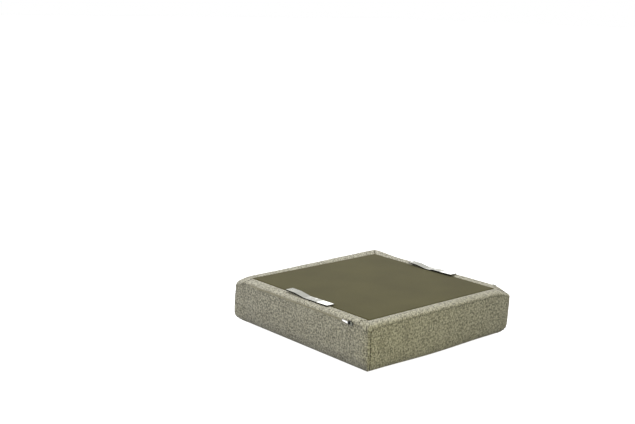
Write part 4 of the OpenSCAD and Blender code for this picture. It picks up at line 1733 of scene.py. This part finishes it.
def zip_stops():
    """One block closes the zip's left end, and two smaller ones its right end."""
    stop = Forging()
    z0, z1 = zip_low.z, zip_high.z
    front, back = zip_low.y, zip_high.y
    layers = ((back, STOP_EASE), (back - STOP_EASE, 0), (front + STOP_EASE, 0), (front, STOP_EASE))
    stop.plate(ZIP_X0, ZIP_X0 + STOP_LONG, z0, z1, 1.2 * MM, layers)
    for low, high in ((z0, z0 + HALF_STOP_HIGH), (z1 - HALF_STOP_HIGH, z1)):
        stop.plate(ZIP_X1 - STOP_LONG, ZIP_X1, low, high, 0.8 * MM, layers)
    return stop.finished("front_zip_end_stops", STOP_METAL)


stops = mirrored(zip_stops(), "back_zip_end_stops")
print("stops", len(stops["front"].data.polygons), "faces")

# %% [markdown]
# ## Slider and pull
#
# The slider is a cast body: a shield in front with a raised arch along its edge, a
# smaller plate behind, and a web between them that the teeth part round. Its metal is near
# black, painted shade for the shadow in the arch, round a grey sunk face. Two ears hold a
# pin, and the bright pull hangs on it. At rest it lies flat along the zip.

# %% Measures of the slider
slide_low, slide_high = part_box("front_zip_slider")
pull_low, pull_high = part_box("front_zip_pull")
PIN_X = pull_high.x - 2 * MM
PIN_Y = -HALF - 5.7 * MM
PIN_R = 0.95 * MM
SHIELD_BACK, SHIELD_FRONT = -HALF - 0.7 * MM, -HALF - 3.4 * MM
SHIELD_R = 8 * MM
SUNK_GREY = metal("slider_sunk_face", (0.20, 0.205, 0.175), 0.60, 0.5, (0.15, 0.155, 0.13))
print("pin at", round(PIN_X, 4), round(PIN_Y, 4))

# %% Slider
def arch_rim(body, x0, x1, z0, z1, steps=6):
    """A raised rim up one side of the shield, over its top and down the other side."""
    half = 1.4 * MM
    base, front, foot = SHIELD_FRONT + 1.2 * MM, SHIELD_FRONT, z0 + 3 * MM
    left, right, top, bend = x0 + half, x1 - half, z1 - half, SHIELD_R - half
    turns = [math.pi / 2 * k / steps for k in range(steps + 1)]
    line = [(left, foot, math.pi), (left, top - bend, math.pi)]
    line += [(left + bend - bend * math.cos(a), top - bend + bend * math.sin(a), math.pi - a)
             for a in turns[1:]]
    line += [(right - bend + bend * math.sin(a), top - bend + bend * math.cos(a), math.pi / 2 - a)
             for a in turns]
    line.append((right, foot, 0.0))
    inner = half - 0.4 * MM
    section = ((half, base), (inner, front), (-inner, front), (-half, base))
    body.stack([[(x + math.cos(way) * w, y, z + math.sin(way) * w) for w, y in section]
                for x, z, way in line])


def ear(body, sign):
    """A plate beside the pull's eye, which holds one end of the pin."""
    rings = []
    for depth, inset in ((3.2, 0.2), (3.35, 0), (4.45, 0), (4.6, 0.2)):
        wide = (4 - inset) * MM
        outline = rounded(PIN_X - wide, PIN_X + wide, -HALF - (7.7 - inset) * MM,
                          SHIELD_FRONT + 1.4 * MM, 1.7 * MM, 4)
        rings.append([(x, y, SEAM_Z + sign * depth * MM) for x, y in outline])
    body.stack(rings)


def slider_body():
    body = Forging()
    x0, x1, z0, z1 = slide_low.x, slide_high.x, slide_low.z, slide_high.z
    back, front, rear = SHIELD_BACK, SHIELD_FRONT, slide_high.y
    shield = ((back, 0.5 * MM), (back - 0.5 * MM, 0), (front + 1.4 * MM, 0),
              (front + 1.1 * MM, 0.4 * MM))
    body.plate(x0, x1, z0, z1, SHIELD_R, shield, (0, 0, 1))
    arch_rim(body, x0, x1, z0, z1)
    wing = ((rear, 0.5 * MM), (rear - 0.5 * MM, 0), (rear - 1.7 * MM, 0), (rear - 2 * MM, 0.3 * MM))
    body.plate(x0 + 0.2 * MM, x1, SEAM_Z - 3.5 * MM, SEAM_Z + 3.5 * MM, 2.4 * MM, wing)
    middle, wide, thin = (x0 + x1) / 2, 5 * MM, 0.5 * MM
    web = ((back - 0.05 * MM, 0), (rear - 1.95 * MM, 0))
    body.plate(middle - wide, middle + wide, SEAM_Z - thin, SEAM_Z + thin, 0.4 * MM, web)
    for sign in (-1, 1):
        ear(body, sign)
    body.stack([circle(PIN_R, SEAM_Z + sign * 3.4 * MM, 12, PIN_X, PIN_Y) for sign in (-1, 1)])
    # The body is the near-black metal, painted shade for the arch's shadow, round a grey sunk face.
    return body.finished("front_slider_body", PAINTED_SHADE_METAL, SUNK_GREY)


sliders = mirrored(slider_body(), "back_slider_body")
print("slider", [round(v / MM, 1) for v in sliders["front"].dimensions])

# %% Pull
EYE = (                                 # (radius, height) round the eye's wall, in millimetres
    (1.12, -2.85), (1.12, 2.85), (1.75, 2.95), (1.95, 2.75), (1.95, -2.75), (1.75, -2.95),
)


def pull_tag():
    """A bright tag that grows wider and sinks a little towards its free end, on an eye of
    near-black metal, painted shade.
    """
    pull = Forging()
    back, front, neck = -HALF - 4.95 * MM, -HALF - 6.5 * MM, PIN_X - 5.8 * MM
    layers = ((back, 0.5 * MM), (back - 0.3 * MM, 0.08 * MM), (back - 0.7 * MM, 0),
              (front + 0.35 * MM, 0.3 * MM), (front + 0.12 * MM, 1.1 * MM), (front, 2.0 * MM))
    x0, x1 = pull_low.x, neck + 1 * MM
    pull.plate(x0, x1, pull_low.z, pull_high.z, 3.0 * MM, layers)
    for k, (x, y, z) in enumerate(pull.spots):
        share = (x - x0) / (x1 - x0)
        wide = (z - SEAM_Z) * (0.62 + 0.38 * share)
        pull.spots[k] = (x, y, SEAM_Z + wide + (2.8 - 3.2 * share) * MM)
    bright = len(pull.tones)
    layers = ((back, 0.25 * MM), (back - 0.25 * MM, 0), (front + 0.4 * MM, 0),
              (front + 0.1 * MM, 0.5 * MM))
    pull.plate(neck - 1 * MM, PIN_X - 1.2 * MM, SEAM_Z - 2.9 * MM, SEAM_Z + 2.9 * MM, 0.6 * MM,
               layers)
    first, sides = len(pull.spots), 24
    for radius, height in EYE:
        pull.spots += circle(radius * MM, SEAM_Z + height * MM, sides, PIN_X, PIN_Y)
    for k in range(len(EYE)):           # the wall closes on itself, so it has no ends
        here, there = first + k * sides, first + (k + 1) % len(EYE) * sides
        for s in range(sides):
            after = (s + 1) % sides
            pull.faces.append((here + s, here + after, there + after, there + s))
            pull.tones.append(0)
    pull.tones = [0] * bright + [1] * (len(pull.tones) - bright)
    return pull.finished("front_pull_tag", CHROME, PAINTED_SHADE_METAL)


pulls = mirrored(pull_tag(), "back_pull_tag")
print("pull", [round(v / MM, 1) for v in pulls["front"].dimensions])

# %% [markdown]
# ## Lift plates
#
# Each plate is a strip of flat steel, joggled so that both arms stand clear of the deck
# and fingers go under them. The faces are satin nickel, and the edges are near black,
# painted shade for the edge and the shadow gap under it. The left arm has five low cross
# ribs for grip. The shape is the CAD node's own, with its edges eased.

# %% Plates
# Near-black edges of the plates: painted shade for the dark line of the edge and the shadow gap
# beneath it.
PLATE_EDGE_PAINTED_SHADE = metal("plate_cut_edge", (0.014, 0.014, 0.012), 0.55, 0.5)


def merged_copy(node, name, material):
    """A new piece with a CAD node's shape, its loose triangles joined into faces."""
    shape = bmesh.new()
    shape.from_mesh(frame["nodes"][node].data)
    bmesh.ops.remove_doubles(shape, verts=shape.verts, dist=1e-6)
    bmesh.ops.dissolve_limit(shape, angle_limit=math.radians(1), verts=shape.verts,
                             edges=shape.edges)
    mesh = bpy.data.meshes.new(name)
    shape.to_mesh(mesh)
    shape.free()
    mesh.materials.append(material)
    return placed(name, mesh)


def ease_edges(piece, width):
    """Rounds the sharp edges of a piece, and returns the modifier that does it."""
    bevel = piece.modifiers.new("eased", "BEVEL")
    bevel.width = width
    bevel.segments = 2
    bevel.limit_method = "ANGLE"
    bevel.angle_limit = math.radians(35)
    return bevel


def lift_plate(side):
    """A plate with bright faces and near-black edges, painted shade, which its eased edges take
    too.
    """
    plate = merged_copy(f"{side}_lift_plate", f"{side}_plate_bent", PLATE)
    plate.data.materials.append(PLATE_EDGE_PAINTED_SHADE)
    for face in plate.data.polygons:
        face.material_index = 1 if abs(face.normal.z) < 0.5 else 0
    ease_edges(plate, 0.35 * MM).material = 1
    return plate


plates = {side: lift_plate(side) for side in PLATES}
print("plates", [p.name for p in plates.values()])

# %% Grip ribs
RIB_HALF, RIB_WIDE, RIB_HIGH = 15.5, 1.0, 0.55      # in millimetres
RIB_FIRST, RIB_PITCH, RIB_COUNT = 6 * MM, 8.5 * MM, 5


def rib_item():
    """A low ridge along Y with rounded ends, its round back upwards."""
    rings = []
    for y, inset in ((-RIB_HALF, 0.5), (0.4 - RIB_HALF, 0), (RIB_HALF - 0.4, 0), (RIB_HALF, 0.5)):
        half, high = (RIB_WIDE - inset * 0.8) * MM, (RIB_HIGH - inset * 0.5) * MM
        turns = [math.pi * k / 8 for k in range(16)]
        rings.append([(half * math.cos(a), y * MM, high * max(math.sin(a), -0.2)) for a in turns])
    mesh = closed_mesh("rib_item", *tube(rings), PLATE)
    mesh.set_sharp_from_angle(angle=SHARP)
    return mesh


def grip_ribs(side):
    low, high = PLATES[side]
    middle = (low.y + high.y) / 2
    spots = [(low.x + RIB_FIRST + RIB_PITCH * k, middle, high.z) for k in range(RIB_COUNT)]
    cloud = point_cloud("ribs", spots, [(0, 0, 0)] * RIB_COUNT)
    return ITEMS_ON_POINTS.make(f"{side}_plate_grip_ribs", cloud, rib_item())


ribs = {side: grip_ribs(side) for side in PLATES}
print("ribs", [r.name for r in ribs.values()])

# %% [markdown]
# ## Wood, board and glides
#
# The frame shows only when the lid is off or the base lies on its back, but it gets its
# real surface too: plywood with its plies along the edges, planed softwood for the posts,
# ledges and runners, and black plastic glides. These are the CAD nodes themselves, so only
# their material changes, and their edges are eased by modifiers.

# %% Softwood
GRAIN_FIRST = {"X": (0, 1, 2), "Y": (1, 2, 0), "Z": (2, 0, 1)}


def turned_place(finish, grain):
    """The three Object coordinates, and a place with the grain's axis put first."""
    parts = finish.node("ShaderNodeSeparateXYZ", {}, (finish.place(),), out=(0, 1, 2))
    along = tuple(parts[k] for k in GRAIN_FIRST[grain])
    return parts, finish.node("ShaderNodeCombineXYZ", {}, along)


def softwood(grain):
    """Planed softwood: year rings that show as long lines, and fine pores."""
    finish = Finish("planed_softwood_" + grain.lower(), Roughness=0.6, Specular_IOR_Level=0.3)
    _, along = turned_place(finish, grain)
    warp = finish.noise(along, (2.0, 9, 9))
    ring = finish.noise(along, (3.0, 130, 130), 2.5, 0.55)
    line = ((ring + warp * 1.4) * 7.0) % 1.0
    pore = finish.noise(along, (90, 1800, 1800))
    tone = finish.spread(line, 0.0, 1.0, 0.0, 0.7) + pore * 0.3
    finish.feed("Base Color", finish.mix(tone, (0.70, 0.54, 0.34), (0.50, 0.34, 0.18)))
    finish.feed("Roughness", finish.spread(pore, 0.3, 0.7, 0.52, 0.72))
    finish.bump(pore + line * 0.3, 0.15 * MM, 0.5)
    return finish.material


WOOD = {axis: softwood(axis) for axis in "XYZ"}
print("softwood", [wood.name for wood in WOOD.values()])

# %% Plywood
def plywood(node, thick, grain, ply=2 * MM):
    """Plies stacked along one axis of a board, with the faces' grain along another."""
    finish = Finish(f"sanded_plywood_{thick}_{grain}".lower(), Roughness=0.6,
                    Specular_IOR_Level=0.3)
    parts, along = turned_place(finish, grain)
    number = "XYZ".index(thick)
    depth = (parts[number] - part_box(node)[0][number]) / ply
    glue = finish.spread((depth % 1.0 - 0.5).math("ABSOLUTE"), 0.44, 0.49)
    figure = finish.noise(along, (3.0, 60, 60), 3.0, 0.6)
    fibre = finish.noise(along, (80, 1500, 1500))
    face = finish.mix(figure * 0.6 + fibre * 0.4, (0.66, 0.50, 0.31), (0.46, 0.31, 0.17))
    ply_tone = finish.mix(depth.math("FLOOR") % 2.0, (0.60, 0.45, 0.27), (0.43, 0.29, 0.16))
    edge = finish.mix(glue * 0.7, ply_tone, (0.20, 0.12, 0.06))
    normal = finish.node("ShaderNodeNewGeometry", out="Normal")
    facing = finish.node("ShaderNodeSeparateXYZ", {}, (normal,), out=(0, 1, 2))[number]
    on_edge = finish.spread(facing.math("ABSOLUTE"), 0.4, 0.6, 1.0, 0.0)
    finish.feed("Base Color", finish.mix(on_edge, face, edge))
    finish.feed("Roughness", finish.spread(fibre, 0.3, 0.7, 0.55, 0.75))
    finish.bump(fibre + glue * on_edge * -0.5, 0.15 * MM, 0.5)
    return finish.material


# %% Finishes of the CAD nodes
def dress(node, material, eased=1.0 * MM):
    """Gives a CAD node its finish, and eases its edges."""
    part = frame["nodes"][node]
    part.data.materials.clear()
    part.data.materials.append(material)
    for slot in part.material_slots:
        slot.material = material
    weld = part.modifiers.new("joined", "WELD")
    weld.merge_threshold = 1e-6
    ease_edges(part, eased)


for thick, grain, pair in (("Y", "X", ("front", "back")), ("X", "Y", ("left", "right"))):
    for side in pair:
        dress(f"{side}_rail", plywood(f"{side}_rail", thick, grain))
        dress(f"{side}_ledge", WOOD[grain])
        dress(f"{side}_runner", WOOD[grain])
dress("centre_runner", WOOD["Y"])
dress("corner_posts", WOOD["Z"])
dress("floor_board", plywood("floor_board", "Z", "X", ply=1.8 * MM), 0.5 * MM)
dress("lid_board", plywood("lid_board", "Z", "X"))
dress("glides", GLIDE, 0.8 * MM)
print("dressed", sum(1 for o in frame["nodes"].values() if "eased" in o.modifiers), "CAD nodes")

# %% [markdown]
# ## Handing over
#
# Each cloth gets its thickness, and each piece is attached to the body that it rides on,
# and the plain CAD solids that it stands for are hidden. For each sheet of the cover, the
# size that it was cut to is worked out from its flat area.

# %% Cloth thickness
for side in SIDES:
    thicken(side_panels[side], COVER_T)
    thicken(lips[side], COVER_T)


def flat_area(piece):
    """Area of a piece's map, which is the cloth laid flat in metres."""
    layer = piece.data.uv_layers["cloth"].data
    total = 0.0
    for face in piece.data.polygons:
        spots = [layer[k].uv for k in face.loop_indices]
        total += abs(sum(a.x * b.y - b.x * a.y for a, b in zip(spots, spots[1:] + spots[:1]))) / 2
    return total


print("panel flat area", round(flat_area(side_panels["front"]), 4))

# %% Bodies, and the CAD solids that the pieces stand for
def hand_over(piece, body, slot, *nodes):
    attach(piece, body)
    if nodes:
        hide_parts(*nodes)


def cloth_of(piece, node, length):
    """Hands over a sheet of the cover, which is cut along its side to the given length."""
    hand_over(piece, "base", "cover_cloth", node)
    area = flat_area(piece)
    cut = (max(2 * HALF, area / length), length)


for side in SIDES:
    cloth_of(side_panels[side], f"{side}_cover", PANEL_L)
    cloth_of(lips[side], f"{side}_lip", LIP_L)
    hand_over(foams[side], "base", "foam", f"{side}_foam")
    hand_over(threads[side], "base", "zip_tape")

hand_over(deck, "lid", "deck_cloth", "lid_cloth")
hand_over(lining, "base", "lining_cloth", "well_lining")
hand_over(dust, "base", "dust_cloth", "dust_cloth")

for side in ZIP_SIDES:
    tape = tapes[side]
    hand_over(tape, "base", "zip_tape", f"{side}_zip_tapes")
    hand_over(teeth[side], "base", "zip_plastic", f"{side}_zip_teeth")
    hand_over(stops[side], "base", "zip_metal", f"{side}_zip_stops")
    hand_over(sliders[side], f"{side}_slider", "zip_metal", f"{side}_zip_slider")
    hand_over(pulls[side], f"{side}_pull", "pull_metal", f"{side}_zip_pull")
    hand_over(plates[side], "lid", "plate_steel", f"{side}_lift_plate")
    hand_over(ribs[side], "lid", "plate_steel")
    flat_area(tape)
for node, piece in screw_sets.items():
    hand_over(piece, "lid" if node == "plate_screws" else "base", "fastener_steel", node)
hand_over(dust_staples, "base", "fastener_steel", "dust_cloth_staples")
hand_over(lid_staple_set, "lid", "fastener_steel", "lid_staples")
print("handed over")

# %% View settings and the end
bpy.context.scene.view_settings.view_transform = "Standard"
